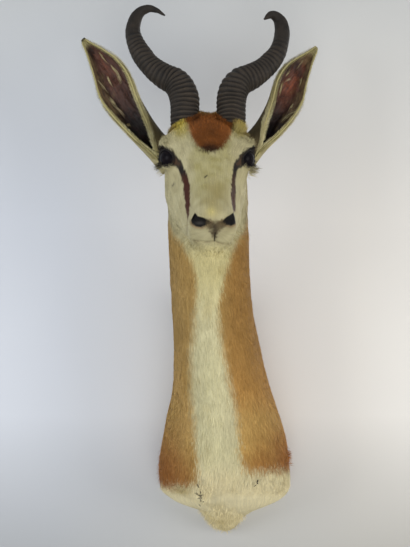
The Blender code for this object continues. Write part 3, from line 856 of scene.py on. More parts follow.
def mirrored_ring(half):
    """The whole ring: the given half and its mirror image in the ring's own middle plane."""
    half = np.array(half)
    chord = half[-1] - half[0]
    axis = unit(np.cross(np.cross(chord, half[len(half) // 2] - half[0]), chord))
    inside = half[1:-1]
    mirrored = inside - 2 * ((inside - half[0]) @ axis)[:, None] * axis
    return np.concatenate([half, mirrored[::-1]])


def head_ring(crown, jaw, widths):
    """The points of one row of HEAD_RINGS, down one side from the crown to the jaw."""
    top = head_point(crown[0], 0, crown[1])
    bottom = head_point(jaw[0], 0, jaw[1])
    return [top] + [top + (bottom - top) * down + SIDE * wide for down, wide in widths] + [bottom]


def neck_ring(nape, throat, middle, half_width, widest):
    """The points of one row of NECK_RINGS, down one side from the nape to the throat."""
    top, bottom = np.array((middle, *nape)), np.array((middle, *throat))
    points = []
    for index in range(RING_HALF + 1):
        turn = math.pi * index / RING_HALF
        upper = turn < math.pi / 2
        down = widest * (1 - math.cos(turn)) if upper else widest - (1 - widest) * math.cos(turn)
        points.append(top + (bottom - top) * down + np.array((half_width * math.sin(turn), 0, 0)))
    return points


def hide_grid():
    """Points of the skin, row by row from nose to chest, with the ring that each row lies at."""
    halves = [head_ring(*ring) for ring in HEAD_RINGS] + [neck_ring(*ring) for ring in NECK_RINGS]
    cage = np.array([mirrored_ring(half) for half in halves])
    last = len(cage) - 1
    neck_start = len(HEAD_RINGS) - 0.5
    places = np.concatenate([
        np.linspace(0, neck_start, HEAD_ROWS, endpoint=False),
        np.linspace(neck_start, last, NECK_ROWS),
    ])
    rows = along_curve(cage, places / last, b_spline)
    count = rows.shape[1]
    scaled = np.arange(HIDE_COLUMNS) / HIDE_COLUMNS * count
    index = scaled.astype(int)
    weights = catmull_rom(scaled - index)
    points = sum(weights[None, :, step, None] * rows[:, (index + step - 1) % count]
                 for step in range(4))
    return points, places


def grid_directions(points):
    """Unit normals that point out of the skin, and unit tangents that run from nose to chest."""
    along = np.gradient(points, axis=0)
    around = np.roll(points, -1, axis=1) - np.roll(points, 1, axis=1)
    return unit(np.cross(around, along)), unit(along)


def eye_centre(side):
    return head_point(EYE_PLACE[0], side * EYE_PLACE[1], EYE_PLACE[2])


def opening_edge(front):
    """How high and how low the lids open at this angle to the front, in radians."""
    share = np.where(front > 0, front / OPENING_FRONT, -front / OPENING_BACK)
    tall = np.sqrt(np.clip(1 - np.abs(share) ** 2.2, 0, 1))
    return OPENING_TOP * tall, OPENING_BOTTOM * tall


def lid_distance(points, side):
    """The angle from the edge of the opening between the lids, below 0 inside it, and the distance
    from the eye's centre."""
    local = in_head(points) * (1, side, 1) - np.array(EYE_PLACE)
    distance = np.linalg.norm(local, axis=-1)
    toward = local / np.maximum(distance, 1e-9)[..., None]
    front = np.arctan2(toward @ EYE_FRONT, toward @ EYE_GAZE)
    up = np.arcsin(np.clip(toward @ EYE_UP, -1, 1))
    angles = np.linspace(-OPENING_BACK, OPENING_FRONT, 40)
    top, bottom = opening_edge(angles)
    lower = np.stack([angles, -bottom], 1)[-2:0:-1]
    outline = np.concatenate([np.stack([angles, top], 1), lower])
    return outline_distance(np.stack([front, up], -1), outline), distance


def shape_eye(points, side):
    """Opens the lids over the eye and lays them round its ball."""
    edge, distance = lid_distance(points, side)
    near = ramp(0.030, 0.022, distance)
    lid = EYE_RADIUS + LID_THICKNESS * ramp(-0.02, 0.04, edge) + 0.0012 * ramp(0.35, 0.08, edge)
    lid = lid - 0.0008 * ramp(0.4, 1.0, edge)
    closed = mix(distance, np.maximum(distance, lid), near)
    target = mix(EYE_RADIUS - EYE_DEPTH, closed, ramp(-0.10, 0.0, edge))
    target = np.where(near > 0, target, distance)
    centre = eye_centre(side)
    return centre + unit(points - centre) * target[..., None]


def sculpt(points):
    """The skin with brows, lids, nostrils, lips and hollows, which the rings don't have."""
    normals, _ = grid_directions(points)
    along, sideways, up = split(in_head(points))
    sideways = np.abs(sideways)
    is_head = ramp(-0.09, -0.05, along) * ramp(-0.12, -0.09, up)

    swell = 0.0050 * bell((along, -0.012, 0.018), (sideways, 0.054, 0.013), (up, 0.014, 0.010))
    swell += 0.0030 * bell((along, -0.030, 0.012), (up, 0.001, 0.015)) * ramp(0.03, 0.045, sideways)
    swell -= 0.0030 * bell((along, 0.034, 0.014), (sideways, 0.036, 0.012), (up, -0.004, 0.010))
    swell += 0.0014 * bell((along, 0.118, 0.012), (up, -0.030, 0.012))
    swell += 0.0007 * noise(points, 0.020, 3) + 0.0004 * noise(points, 0.008, 4)
    points = points + normals * (swell * is_head)[..., None]
    lumps = 0.0012 * noise(points, 0.045, 5) + 0.0006 * noise(points, 0.016, 6)
    points = points + normals * (lumps * (1 - is_head) - 0.0012)[..., None]
    for side in (-1, 1):
        points = shape_eye(points, side)

    places = chart(points)
    hollow = np.zeros(places.shape[:-1])
    for outline in NOSTRILS:
        distance = outline_distance(places, outline)
        hollow += 0.0085 * ramp(0.4, -3.2, distance) - 0.0010 * bell((distance, 1.6, 1.3))
    hollow += 0.0016 * bell((line_distance(places, PHILTRUM), 0, 0.9))
    hollow += 0.0018 * bell((line_distance(places, MOUTH), 0, 0.9))
    front = ramp(MUZZLE_FRONT_Y + 0.012, MUZZLE_FRONT_Y - 0.006, points[..., 1])
    points = points - FORWARD * (hollow * front)[..., None]

    normals, _ = grid_directions(points)
    lips = line_distance(np.stack([along, up], -1), LIP_PATH)
    back = ramp(MUZZLE_FRONT_Y - 0.016, MUZZLE_FRONT_Y + 0.002, points[..., 1])
    return points - normals * (0.0006 * bell((lips, 0, 0.0013)) * is_head * back)[..., None]


# ------------------------------------------------------------------ the coat's colours

def softened(distance, points, width, seed):
    """1 inside an outline and 0 outside, with an uneven edge like hair lying over it."""
    return ramp(width, -width, distance + 0.5 * width * noise(points, 0.004, seed))


def tan_hair(points, x, y, fine, around, head):
    """The tan hair of the neck, with rust on the flanks, brown at the nape, and painted light at its
    upper left outline and lower down.
    """
    broad = noise(points, 0.050, 11)
    tan = layered(
        TAN,
        (TAN_LIGHT, 0.5 + 0.5 * broad),
        (TAN_RED, ramp(214, 236, x) * ramp(420, 390, y)),
        # Painted light: lighter tan along the neck's upper left outline.
        (TAN_LIGHT, 0.7 * ramp(176, 168, x) * ramp(330, 290, y)),
    )
    # Painted light: the tan made lighter lower down the neck, more on its right.
    left, right = 0.28 * ramp(320, 390, y), 0.46 * ramp(320, 440, y)
    tan = tan * (1 + left + (right - left) * ramp(225, 250, x))[..., None]
    flank = ramp(400, 455, y + 14 * broad) * ramp(26, 50, np.abs(x - 216))
    flank = flank * (1 - 0.4 * ramp(216, 230, x))
    nape = ramp(0.20, 0.05, np.minimum(around, 1 - around))
    return layered(
        tan,
        (FLANK_RUST, flank),
        (RUST, 0.60 * ramp(267, 286, x + 3 * fine) * ramp(412, 440, y)),
        (RUST, 0.35 * ramp(438, 462, y + 8 * fine) * ramp(232, 248, x)),
        (mix(RUST, FLANK_RUST, 0.5), 0.7 * ramp(440, 474, y + 10 * fine) * ramp(204, 184, x)),
        (NAPE_BROWN, 0.65 * nape * (1 - head)),
    )


def white_hair(points, x, y, fine):
    """The cream hair of the face, the throat and the chest, with the dirt in it and painted light on the
    chin.
    """
    face = layered(
        FACE_HAIR,
        (FACE_YELLOW, ramp(26, 12, np.abs(x - 211 + 4 * fine)) * ramp(214, 180, y)),
        (WHITE_HAIR, 0.22 + 0.3 * noise(points, 0.009, 18)),
    )
    white = layered(
        CREAM,
        (WHITE_HAIR, 0.5 + 0.5 * noise(points, 0.030, 13)),
        (THROAT_HAIR, ramp(325, 270, y)),
        (CHEST_HAIR, ramp(450, 485, y)),
        (DIRT, 0.35 * ramp(504, 530, y + 8 * fine)),
        (DIRT, 0.7 * bell((x, 184, 9), (y, 489, 5))),
        (DIRT, 0.3 * ramp(0.3, 0.8, noise(points, 0.018, 14))),
        (face, ramp(256, 236, y) * ramp(-0.06, -0.16, points[..., 1])),
    )
    # Painted light: the hair on the chin below the mouth is made up to a fifth lighter, against the shade
    # under the head.
    return white * (1 + 0.22 * bell((x, 212, 14), (y, 250, 7)))[..., None]


def markings(points, rings, around):
    """The coat's colour at each point. rings counts the loft's rings from the nose and around is 0
    at the crown and the nape, and 0.5 at the jaw and the throat."""
    places = chart(points)
    x, y = split(places)
    along, sideways, up = split(in_head(points))
    fine = noise(points, 0.012, 12)
    head = ramp(13.4, 12.4, rings)
    throat = ramp(0.30, 0.22, np.abs(around - 0.5))
    facing = ramp(-0.150, -0.190, points[..., 1])

    edge_width = 3.4 + 2.0 * ramp(285, 320, y) * ramp(440, 410, y)
    on_front = softened(outline_distance(places, WHITE_FRONT), points, edge_width, 21)
    neck_white = np.maximum(on_front * throat, ramp(478, 488, y + 3 * fine))
    face_white = ramp(12.9, 11.8, rings + 0.5 * fine) * ramp(-0.085, -0.070, along)
    face_white = face_white * (1 - ramp(-0.010, -0.040, along) * ramp(0.010, 0.030, up))
    whiteness = np.maximum(mix(neck_white, on_front, head * throat), face_white * head)
    tan, white = tan_hair(points, x, y, fine, around, head), white_hair(points, x, y, fine)

    yellow = bell((x, 181, 8), (y, 126, 9)) + bell((x, 240, 8), (y, 125, 9))
    crown = ramp(0.052, 0.030, np.abs(sideways)) * ramp(-0.044, -0.058, along) * ramp(0.0, 0.02, up)
    bridge_share = np.clip(0.75 + 0.4 * fine, 0, 1) * bell((x, 214, 11), (y, 196, 17))
    rust = layered(
        RUST,
        (RUST_BROWN, 0.5 + 0.5 * noise(points, 0.010, 15)),
        (RUST_DARK, ramp(136, 149, y + 3 * fine) * ramp(15, 9, np.abs(x - 211))),
        (RUST_DARK, 0.6 * bell((x, 196, 5), (y, 121, 3.5))),
        (RUST_DARK, 0.5 * bell((x, 222, 6), (y, 117, 3.0))),
    )
    on_rust = softened(outline_distance(places, RUST_PATCH), points, 2.2, 22)
    colour = layered(
        mix(tan, white, whiteness),
        (YELLOW_HAIR, np.clip(1.05 * yellow, 0, 1) * facing),
        (mix(TAN, NAPE_BROWN, 0.4), crown),
        (BRIDGE_TINT, bridge_share * facing),
        (YELLOW_HAIR, 0.35 * bell((x, 211, 5), (y, 212, 5)) * facing),
        (rust, on_rust * ramp(-0.055, -0.040, along) * ramp(-0.02, 0.0, up)),
    )

    front_half = ramp(-0.02, 0.0, along) * facing
    turned_forward = ramp(-0.10, -0.40, grid_directions(points)[0][..., 1])
    ragged = 0.9 * noise(points, 0.0026, 20) * turned_forward
    for outline, shade in zip(STRIPES, (STRIPE, STRIPE_GREY)):
        shade = mix(DARK_HAIR, mix(shade, STRIPE, 0.6 * ramp(188, 200, y)), ramp(168, 182, y))
        distance = outline_distance(places, outline) - 0.1 + ragged
        colour = mix(colour, shade, softened(distance, points, 0.8, 23) * front_half)
    # Painted shade in grey along the muzzle's left edge, below the stripe.
    muzzle_edge_shade = line_distance(places, PAINTED_MUZZLE_EDGE_SHADE)
    colour = mix(colour, GREY_NOSE, 0.5 * bell((muzzle_edge_shade, 0, 0.6)) * front_half)
    for outline in TEAR_PATCHES:
        distance = outline_distance(places, outline) + 1.2 * noise(points, 0.0030, 25)
        tear = mix(DARK_HAIR, TEAR_BROWN, ramp(-0.8, -2.6, distance) * ramp(168, 163, y))
        colour = mix(colour, tear, 0.95 * softened(distance - 0.6, points, 0.8, 24) * facing)
    for side in (-1, 1):
        edge, distance = lid_distance(points, side)
        colour = mix(colour, DARK_HAIR, ramp(0.15, 0.06, edge) * ramp(0.034, 0.024, distance))
    for line, width in CRACKS:
        colour = mix(colour, DARK_HAIR, 0.95 * bell((line_distance(places, line), 0, width)) * facing)
    front = ramp(MUZZLE_FRONT_Y + 0.012, MUZZLE_FRONT_Y - 0.004, points[..., 1])
    lips = line_distance(np.stack([along, up], -1), LIP_PATH)
    colour = muzzle_colours(colour, points, places, front)
    colour = mix(colour, GREY_NOSE, 0.15 * bell((lips, 0, 0.0014)) * head * (1 - front))
    return np.clip(colour, 0, 1)


def muzzle_colours(colour, points, places, front):
    """The coat's colour with the nostrils, a painted highlight inside the left one, the septum and the
    mouth's line.
    """
    x, y = split(places)
    for outline in NOSTRILS:
        distance = outline_distance(places, outline)
        colour = layered(
            colour,
            (NOSTRIL_BROWN, 0.75 * ramp(3.2, 0.8, distance) * ramp(217, 223, y) * front),
            (BLACK_SKIN, ramp(0.6, -0.6, distance) * front),
        )
    septum = outline_distance(places, SEPTUM) + 1.6 * noise(points, 0.0022, 16)
    core = np.clip(0.8 + 0.5 * noise(points, 0.0018, 19), 0, 1) * bell((x, 214.2, 3.4), (y, 228.5, 6.5))
    broken = 0.55 + 0.45 * noise(points, 0.006, 17)
    return layered(
        colour,
        # A painted highlight on the floor of the left nostril.
        (NOSTRIL_PAINTED_HIGHLIGHT, 0.9 * bell((x, 199.5, 4.2), (y, 223.0, 1.6)) * front),
        (SEPTUM_BROWN, 0.9 * ramp(2.2, -1.6, septum) * front),
        (SEPTUM_DARK, core * front),
        (DARK_HAIR, 0.9 * bell((line_distance(places, PHILTRUM), 0, 0.65)) * front),
        (GREY_NOSE, 0.85 * broken * bell((line_distance(places, MOUTH), 0, 1.0)) * front),
    )


# ------------------------------------------------------------------ hair

def hair_lengths(points, rings):
    """How long the hair is at each point of the skin, in metres."""
    y = chart(points)[..., 1]
    along, sideways, up = split(in_head(points))
    forehead = ramp(0.04, 0.03, np.abs(sideways)) * ramp(0.005, -0.015, along) * ramp(0.01, 0.025, up)
    return layered(
        np.interp(rings, LENGTH_RINGS, RING_LENGTHS),
        (FOREHEAD_LENGTH, forehead * ramp(13, 12, rings)),
        (CHEST_LENGTH, ramp(455, 480, y)),
        (TIP_LENGTH, ramp(482, 498, y)),
    )


def from_horn_axis(points, spine):
    """The axis of a horn's foot, how far points lie along it, and their way off it."""
    foot = np.array(spine[0][:3])
    axis = unit(np.array(spine[1][:3]) - foot)
    along = (points - foot) @ axis
    return axis, along, points - foot - along[..., None] * axis


def hair_chance(points, lengths):
    """How thick the hair grows: none in the eyes, the nostrils, under the horns and at the wall."""
    bare = (points[..., 1] > HIDE_BACK_Y - 0.001).astype(float)
    for spine in HORNS.values():
        _, along, off = from_horn_axis(points, spine)
        bare = np.maximum(bare, ramp(0.0172, 0.0160, np.linalg.norm(off, axis=-1)) * (along > -0.02))
    for side in (-1, 1):
        edge, distance = lid_distance(points, side)
        bare = np.maximum(bare, ramp(0.06, 0.01, edge) * (distance < 0.03))
    places = chart(points)
    front = points[..., 1] < MUZZLE_FRONT_Y + 0.01
    for outline in NOSTRILS:
        bare = np.maximum(bare, ramp(0.6, 0.0, outline_distance(places, outline)) * front)
    return (1 - bare) / np.maximum(lengths, 0.0030) ** 0.7


def grow_hair(name, roots, normals, flows, lengths, widths, lifts, colours):
    """One mesh of flat tapered hairs. Each leaves its root at its lift and bends back to the skin."""
    count = len(roots)
    widths, lifts = np.broadcast_to(widths, count)[:, None], np.broadcast_to(lifts, count)[:, None]
    across = unit(np.cross(normals, flows))
    across = unit(across + normals * rng.normal(0, HAIR_ROLL, count)[:, None]) * widths * 0.5
    half = lengths[:, None] * 0.5
    bent = lifts * HAIR_BEND
    start = roots - normals * ROOT_DEPTH
    middle = start + (flows * np.cos(lifts) + normals * np.sin(lifts)) * half
    tip = middle + (flows * np.cos(bent) + normals * np.sin(bent)) * half
    points = np.stack([start, middle + across, tip, middle - across], 1).reshape(-1, 3)
    points[:, 1] = np.minimum(points[:, 1], HIDE_BACK_Y + 0.0006)
    corners = np.arange(count)[:, None] * 4
    faces = np.concatenate([corners + [0, 1, 3], corners + [1, 2, 3]])
    obj = mesh_object(name, points, faces, [HAIR], smooth=False)
    colours = np.broadcast_to(colours, (count, 3))
    shades = np.stack([colours * ROOT_SHADE, colours, colours * TIP_SHADE, colours], 1)
    paint(obj, "hair", np.clip(shades, 0, 1).reshape(-1, 3))
    finish_piece(obj, "hide")


def scatter(grid, weights, count, closed=True):
    """Random places on a grid of points: the quad of each and its two shares across it."""
    after = np.roll(grid, -1, axis=1) if closed else grid[:, 1:]
    before = grid if closed else grid[:, :-1]
    area = np.linalg.norm(np.cross(before[1:] - before[:-1], after[:-1] - before[:-1]), axis=-1)
    chance = (area * weights).ravel()
    cells = rng.choice(chance.size, count, p=chance / chance.sum())
    row, column = np.divmod(cells, area.shape[1])
    return row, column, rng.random(count), rng.random(count)


def sample(grid, where, closed=True):
    """The values of a grid at scattered places."""
    row, column, down, across = where
    right = (column + 1) % grid.shape[1] if closed else column + 1
    down, across = (share.reshape(-1, *[1] * (grid.ndim - 2)) for share in (down, across))
    upper = grid[row, column] * (1 - across) + grid[row, right] * across
    lower = grid[row + 1, column] * (1 - across) + grid[row + 1, right] * across
    return upper * (1 - down) + lower * down


def rooted(skin, chance, count):
    """Random places on the skin, with the roots of hairs that grow there and the normals at them."""
    where = scatter(skin.points, chance[:-1], count)
    return where, sample(skin.points, where), unit(sample(skin.normals, where))


def swirled(flows, normals, points, amount, size, seed):
    """The way the hair lies, turned a little one way and the other from place to place."""
    turn = amount * noise(points, size, seed) + rng.normal(0, amount * 0.35, len(points))
    across = np.cross(normals, flows)
    return unit(flows * np.cos(turn)[:, None] + across * np.sin(turn)[:, None])


def streaked(lie, size, seed):
    """Noise in streaks that run along the hair."""
    return noise(lie / (size, size, size * 14), 1.0, seed)


# ------------------------------------------------------------------ the hide and its hair

def make_hide():
    """The skin. What comes back is its grid of points with all that the hair needs to know."""
    base, rings = hide_grid()
    points = sculpt(base)
    rows, columns = points.shape[:2]
    around, rings = np.meshgrid(np.arange(columns) / columns, rings)
    colours = markings(points, rings, around)
    middle = points[:, columns // 4]
    run = np.cumsum(np.linalg.norm(np.diff(middle, axis=0, prepend=middle[:1]), axis=-1))
    turn = math.tau * around
    lie = np.stack([LIE_RADIUS * np.cos(turn), LIE_RADIUS * np.sin(turn),
                    np.repeat(run[:, None], columns, 1)], -1)

    obj = mesh_object("hide_skin", points.reshape(-1, 3), grid_faces(rows, columns, True), [HIDE, FORM])
    paint(obj, "marking", colours.reshape(-1, 3))
    store(obj, "strand", "FLOAT_VECTOR", lie * (400, 400, 40))
    close_skin(obj)
    finish_piece(obj, "hide", "hide")
    normals, flows = grid_directions(points)
    lengths = hair_lengths(points, rings)
    return SimpleNamespace(points=points, normals=normals, flows=flows, rings=rings[:, 0], lie=lie,
                           colours=colours, lengths=lengths, chance=hair_chance(points, lengths))


def board_outline(grow):
    """The board's outline, grown by this much."""
    outline = [Vector(point) for point in BOARD_HALF_OUTLINE]
    outline += [Vector((-across, up)) for across, up in BOARD_HALF_OUTLINE[1:-1]][::-1]
    grown = []
    for index, point in enumerate(outline):
        run = (outline[(index + 1) % len(outline)] - outline[index - 1]).normalized()
        grown.append(point + Vector((-run.y, run.x)) * grow)
    return grown


def close_skin(obj):
    """Closes the nose end, cuts the skin flat at the wall and lets the board into the form."""
    with edited(obj.data) as bm:
        marking = bm.verts.layers.float_color["marking"]
        nose = [edge for edge in bm.edges if edge.is_boundary and edge.verts[0].co.y < -0.2]
        bmesh.ops.holes_fill(bm, edges=nose, sides=0)
        bmesh.ops.bisect_plane(bm, geom=bm.verts[:] + bm.edges[:] + bm.faces[:], dist=1e-7,
                               plane_co=(0, HIDE_BACK_Y, 0), plane_no=(0, 1, 0), clear_outer=True)
        outer = ordered_loop([edge for edge in bm.edges if edge.is_boundary])
        for vert in outer:
            vert.co.y = HIDE_BACK_Y
        pocket = [Vector((BOARD_MIDDLE_X + across, HIDE_BACK_Y, up))
                  for across, up in board_outline(BOARD_GAP)]
        rim = [bm.verts.new(place) for place in resampled(pocket, PATCH_STEP)]
        floor = [bm.verts.new((vert.co.x, -BOARD_THICKNESS - BOARD_GAP, vert.co.z)) for vert in rim]
        for face in [*bridge(bm, outer, rim), *bridge(bm, rim, floor), bm.faces.new(floor)]:
            face.material_index = 1
            face.smooth = False
        for vert in rim + floor:
            vert[marking] = (*FORM_TAN, 1)
    obj.data.update()


def ordered_loop(edges):
    """The verts of a closed loop of edges, one after the other."""
    after = {}
    for edge in edges:
        for vert in edge.verts:
            after.setdefault(vert, []).append(edge.other_vert(vert))
    loop = [edges[0].verts[0], edges[0].verts[1]]
    while True:
        nearby = [vert for vert in after[loop[-1]] if vert is not loop[-2]]
        if not nearby or nearby[0] is loop[0]:
            return loop
        loop.append(nearby[0])


def resampled(corners, step):
    """Places at even steps along a closed outline."""
    places = []
    for start, end in zip(corners, corners[1:] + corners[:1]):
        count = max(1, round((end - start).length / step))
        places += [start.lerp(end, index / count) for index in range(count)]
    return places


def bridge(bm, first, second):
    """Triangles between two closed loops of verts, each vert joined to the nearest by angle."""
    middle = sum((vert.co for vert in second), Vector()) / len(second)

    def angles_of(loop):
        return [math.atan2(vert.co.z - middle.z, vert.co.x - middle.x) for vert in loop]

    def turned(loop):
        angles = angles_of(loop)
        order = angles.index(min(angles))
        loop = loop[order:] + loop[:order]
        if sum(1 for a, b in zip(angles, angles[1:]) if b > a) < len(angles) / 2:
            loop = [loop[0]] + loop[:0:-1]
        return loop, angles_of(loop)

    def following(angles, index):
        past = index + 2 - len(angles)
        return angles[index + 1] if past < 1 else math.pi + 1e-3 * past

    first, first_angles = turned(first)
    second, second_angles = turned(second)
    faces = []
    near, far = 0, 0
    while near < len(first) or far < len(second):
        sooner = following(first_angles, near) <= following(second_angles, far)
        if far >= len(second) or (near < len(first) and sooner):
            corners = (first[near], first[(near + 1) % len(first)], second[far % len(second)])
            near += 1
        else:
            corners = (first[near % len(first)], second[(far + 1) % len(second)], second[far])
            far += 1
        if len(set(corners)) == 3:
            faces.append(bm.faces.new(corners))
    return faces


def make_coat(skin):
    """The short hair that lies all over the skin, in layers of one mesh each."""
    blur = np.interp(skin.rings, [0, 10, 14, 20], [0.15, 0.35, 0.9, 1.3])
    for index in range(COAT_LAYERS):
        where, roots, normals = rooted(skin, skin.chance, COAT_HAIRS)
        row, column, down, across = where
        flows = swirled(unit(sample(skin.flows, where)), normals, roots, 0.15, 0.030, 31)
        lie = sample(skin.lie, where)
        on_head = ramp(14, 11, skin.rings[row])
        streaks = streaked(lie, 0.0020, 34) + 0.6 * streaked(lie, 0.0070, 36)
        specks = noise(lie / (0.0012, 0.0012, 0.0040), 1.0, 35)
        lengths = sample(skin.lengths, where) * rng.uniform(0.7, 1.25, COAT_HAIRS)
        shift = np.round(rng.normal(0, 1, (2, COAT_HAIRS)) * blur[row]).astype(int)
        near_row = np.clip(row + shift[0], 0, len(skin.points) - 2)
        near_column = (column + shift[1]) % skin.points.shape[1]
        colours = sample(skin.colours, (near_row, near_column, down, across))
        shade = 1 + 0.07 * streaks + 0.05 * noise(roots, 0.012, 32) + (0.05 + 0.32 * on_head) * specks
        shade = shade + 0.07 * on_head * noise(roots, 0.0045, 37)
        shade = shade + rng.normal(0, 1, COAT_HAIRS) * (0.07 + 0.11 * on_head)
        lifts = np.clip(0.12 + 0.04 * specks + rng.normal(0, 0.05, COAT_HAIRS), 0.03, 0.5)
        widths = np.clip(lengths * 0.048, 0.00042, 0.00062)
        grow_hair(f"coat_{index + 1}", roots, normals, flows, lengths, widths, lifts,
                  colours * shade[:, None])


def make_burrs(skin):
    """Dark tangled strands that lie on the chest's hair."""
    x, y = split(chart(skin.points))
    seen = skin.normals[..., 1] < -0.1
    parts = []
    for start, end in (ends for line in BURRS for ends in itertools.pairwise(np.array(line))):
        middle = (start + end) / 2
        away = np.where(seen, np.hypot(x - middle[0], y - middle[1]), 1e9)
        cell = np.unravel_index(away.argmin(), away.shape)
        out = np.repeat(skin.normals[cell][None], BURR_STRANDS, 0)
        run = (end - start) * (1, -1)
        far = np.hypot(*run)
        length = far * chart_unit(skin.points[cell])
        way = unit(np.array((run[0], 0, run[1])) + rng.normal(0, 0.06, (BURR_STRANDS, 3)) * far)
        way = unit(way - out * np.sum(way * out, -1, keepdims=True))
        height = rng.uniform(0.0052, 0.0072, (BURR_STRANDS, 1))
        roots = skin.points[cell] + out * height - way * length / 2
        roots = roots + rng.normal(0, 0.0003, (BURR_STRANDS, 3))
        tint = DARK_HAIR * rng.uniform(0.8, 2.2, (BURR_STRANDS, 1))
        parts.append((roots, out, way, np.full(BURR_STRANDS, length * 1.15), tint))
    roots, out, way, lengths, tint = stack_parts(parts)
    grow_hair("burrs", roots, out, way, lengths, 0.0007, 0.02, tint)


def make_tufts(skin):
    """Longer hair where the coat stands off the skin, and round the horns' feet."""
    x, y = split(chart(skin.points))
    shown = ramp(0.35, -0.05, skin.normals[..., 1])
    grows = skin.chance > 5
    parts = []
    for middle, reach, way, length, lift, spread, count in TUFTS:
        chance = bell((x, middle[0], reach[0]), (y, middle[1], reach[1]))
        chance = np.where(chance > 0.05, chance, 0) * shown * grows
        parts.append(tuft(skin, chance, np.array(way), length, lift, spread, count))
    for spine in HORNS.values():
        axis, along, off = from_horn_axis(skin.points, spine)
        far = np.linalg.norm(off, axis=-1)
        chance = ramp(0.0160, 0.0178, far) * ramp(0.0245, 0.0195, far) * (along > -0.03)
        way = axis * 0.85 + unit(off) * 0.12 + np.array((0, -0.25, 0))
        parts.append(tuft(skin, chance, way, 0.0060, 0.0, 0.22, HORN_FOOT_HAIRS))
    roots, out, way, lengths, lifts, colours = stack_parts(parts)
    grow_hair("tufts", roots, out, way, lengths, 0.00055, lifts, colours)


def tuft(skin, chance, way, length, lift, spread, count):
    """Hairs that point one way from where the chance is high. way may differ from place to place."""
    where, roots, out = rooted(skin, chance, count)
    way = sample(way, where) if way.ndim > 1 else way
    way = unit(way + rng.normal(0, spread, (count, 3)))
    way = unit(way - out * np.minimum(np.sum(way * out, -1, keepdims=True), 0) * 1.1)
    lengths = length * rng.uniform(0.55, 1.25, count)
    shade = 1 + rng.normal(0, 0.10, count)
    lifts = np.clip(lift + rng.normal(0, 0.06, count), 0.0, 0.8)
    return roots, out, way, lengths, lifts, sample(skin.colours, where) * shade[:, None]


def grow_whiskers(skin):
    """Thin stiff hairs at the lips and the chin."""
    x, y = split(chart(skin.points))
    front = ramp(0.2, -0.2, skin.normals[..., 1])
    side_of_lip = bell((np.abs(x - 214), 19, 5), (y, 232, 6))
    chance = (side_of_lip + 0.4 * bell((x, 214, 12), (y, 250, 4))) * front
    _, roots, out = rooted(skin, np.where(chance > 0.05, chance, 0), WHISKERS)
    aside = np.sign(roots[:, :1] - EYE_MIDPOINT[0]) * np.array((0.7, 0, 0))
    way = unit(out * 0.5 + aside + (0, 0, -0.6) + rng.normal(0, 0.25, (WHISKERS, 3)))
    lengths = rng.uniform(0.012, 0.024, WHISKERS)
    grow_hair("whiskers", roots, out, way, lengths, 0.00032, 0.1, BRIDGE_TINT)


# ------------------------------------------------------------------ ears

def ear_surface(ear):
    """The middle surface of an ear as a grid from the root to the tip, its places' shares up the ear
    and their shares across from the inner margin to the outer."""
    places = np.linspace(0, 1, EAR_ROWS)
    shares = EAR_STEPS[0] + (EAR_STEPS[-1] - EAR_STEPS[0]) * places
    spine = ear["spine"]
    before, after = (along_curve(spine, places + step) for step in (-EAR_AXIS_REACH, EAR_AXIS_REACH))
    axes = unit(after - before)
    facing = unit(np.array(ear["facing"]))
    front = unit(facing - axes * (axes @ facing)[:, None])
    outward = np.cross(axes, front) * ear["side"]
    depth, inner_width, outer_width, inner_turn, outer_turn = (
        profile(EAR_STEPS, values, shares)[:, None]
        for values in (EAR_DEPTHS, EAR_INNER_WIDTHS, EAR_OUTER_WIDTHS, EAR_INNER_TURNS, EAR_OUTER_TURNS)
    )
    inner_turn, outer_turn = np.radians(inner_turn), np.radians(outer_turn)
    share, column = np.meshgrid(shares, np.linspace(0, 1, EAR_COLUMNS), indexing="ij")
    turn = -inner_turn + (inner_turn + outer_turn) * column
    width = np.where(np.sin(turn) > 0, outer_width * ear["spread"], inner_width)
    points = (along_curve(spine, places)[:, None] + outward[:, None] * (width * np.sin(turn))[..., None]
              - front[:, None] * (depth * np.cos(turn))[..., None])
    return points, share, column


def open_directions(points, side):
    """Unit normals of an ear's surface out of its back, and unit tangents towards its tip."""
    along = np.gradient(points, axis=0)
    across = np.gradient(points, axis=1)
    return unit(np.cross(along, across)) * side, unit(along)


def left_ear_shaded(places, colour, share=1.0):
    """The left ear's colour with painted shade, olive-brown, beside the lower part of its opening."""
    distance = outline_distance(places, LEFT_EAR_SHADE)
    # Painted shade: darker within and round the outline, olive-brown inside it.
    colour = colour * (1 - 0.16 * share * ramp(7, 3, distance))[..., None]
    return mix(colour, LEFT_EAR_PAINTED_SHADE, 0.85 * share * ramp(0.9, -0.9, distance))


def ear_inner_colour(ear, points, share, column, margin):
    """Dark skin, red where light shines through, with painted shade deep in its lower hollow, short fur
    at its sides and a pale rim.
    """
    away = chart(points) - ear["red_place"]
    axis = np.array((0.50 * ear["side"], -0.866))
    reach = bell((away @ axis, 0, 25), (away @ (-axis[1], axis[0]), 0, 8))
    red = np.clip(reach * (0.85 + 0.45 * noise(points, 0.010, 44)), 0, 1)
    fuzz = ramp(0.34, 0.12, margin + 0.12 * noise(points, 0.005, 49)) * ramp(0.20, 0.40, share)
    fuzz = fuzz * ramp(0.35, 0.65, column)
    if ear["furry_tip"]:
        fuzz = np.maximum(fuzz, ramp(0.76, 0.90, share + 0.08 * noise(points, 0.006, 54)))
    pale = ramp(0.036, 0.002, margin + 0.028 * noise(points, 0.0040, 46))
    return layered(
        EAR_SKIN,
        (EAR_SKIN_RED, red * ear["red_share"]),
        # Painted shade deep in the ear's lower hollow; the layer after it is the skin's own dark
        # blotches.
        (EAR_DARK_SKIN_AND_SHADE, ramp(0.52, 0.30, share) * ramp(0.06, 0.20, margin)),
        (EAR_DARK_SKIN_AND_SHADE, 0.65 * ramp(0.0, 0.6, noise(points, 0.012, 45))),
        (EAR_FUZZ, 0.8 * fuzz),
        (EAR_RIM, np.maximum(pale, ramp(0.90, 0.97, share))),
        (FACE_HAIR, ramp(*ear["furry_foot"], share)),
    )


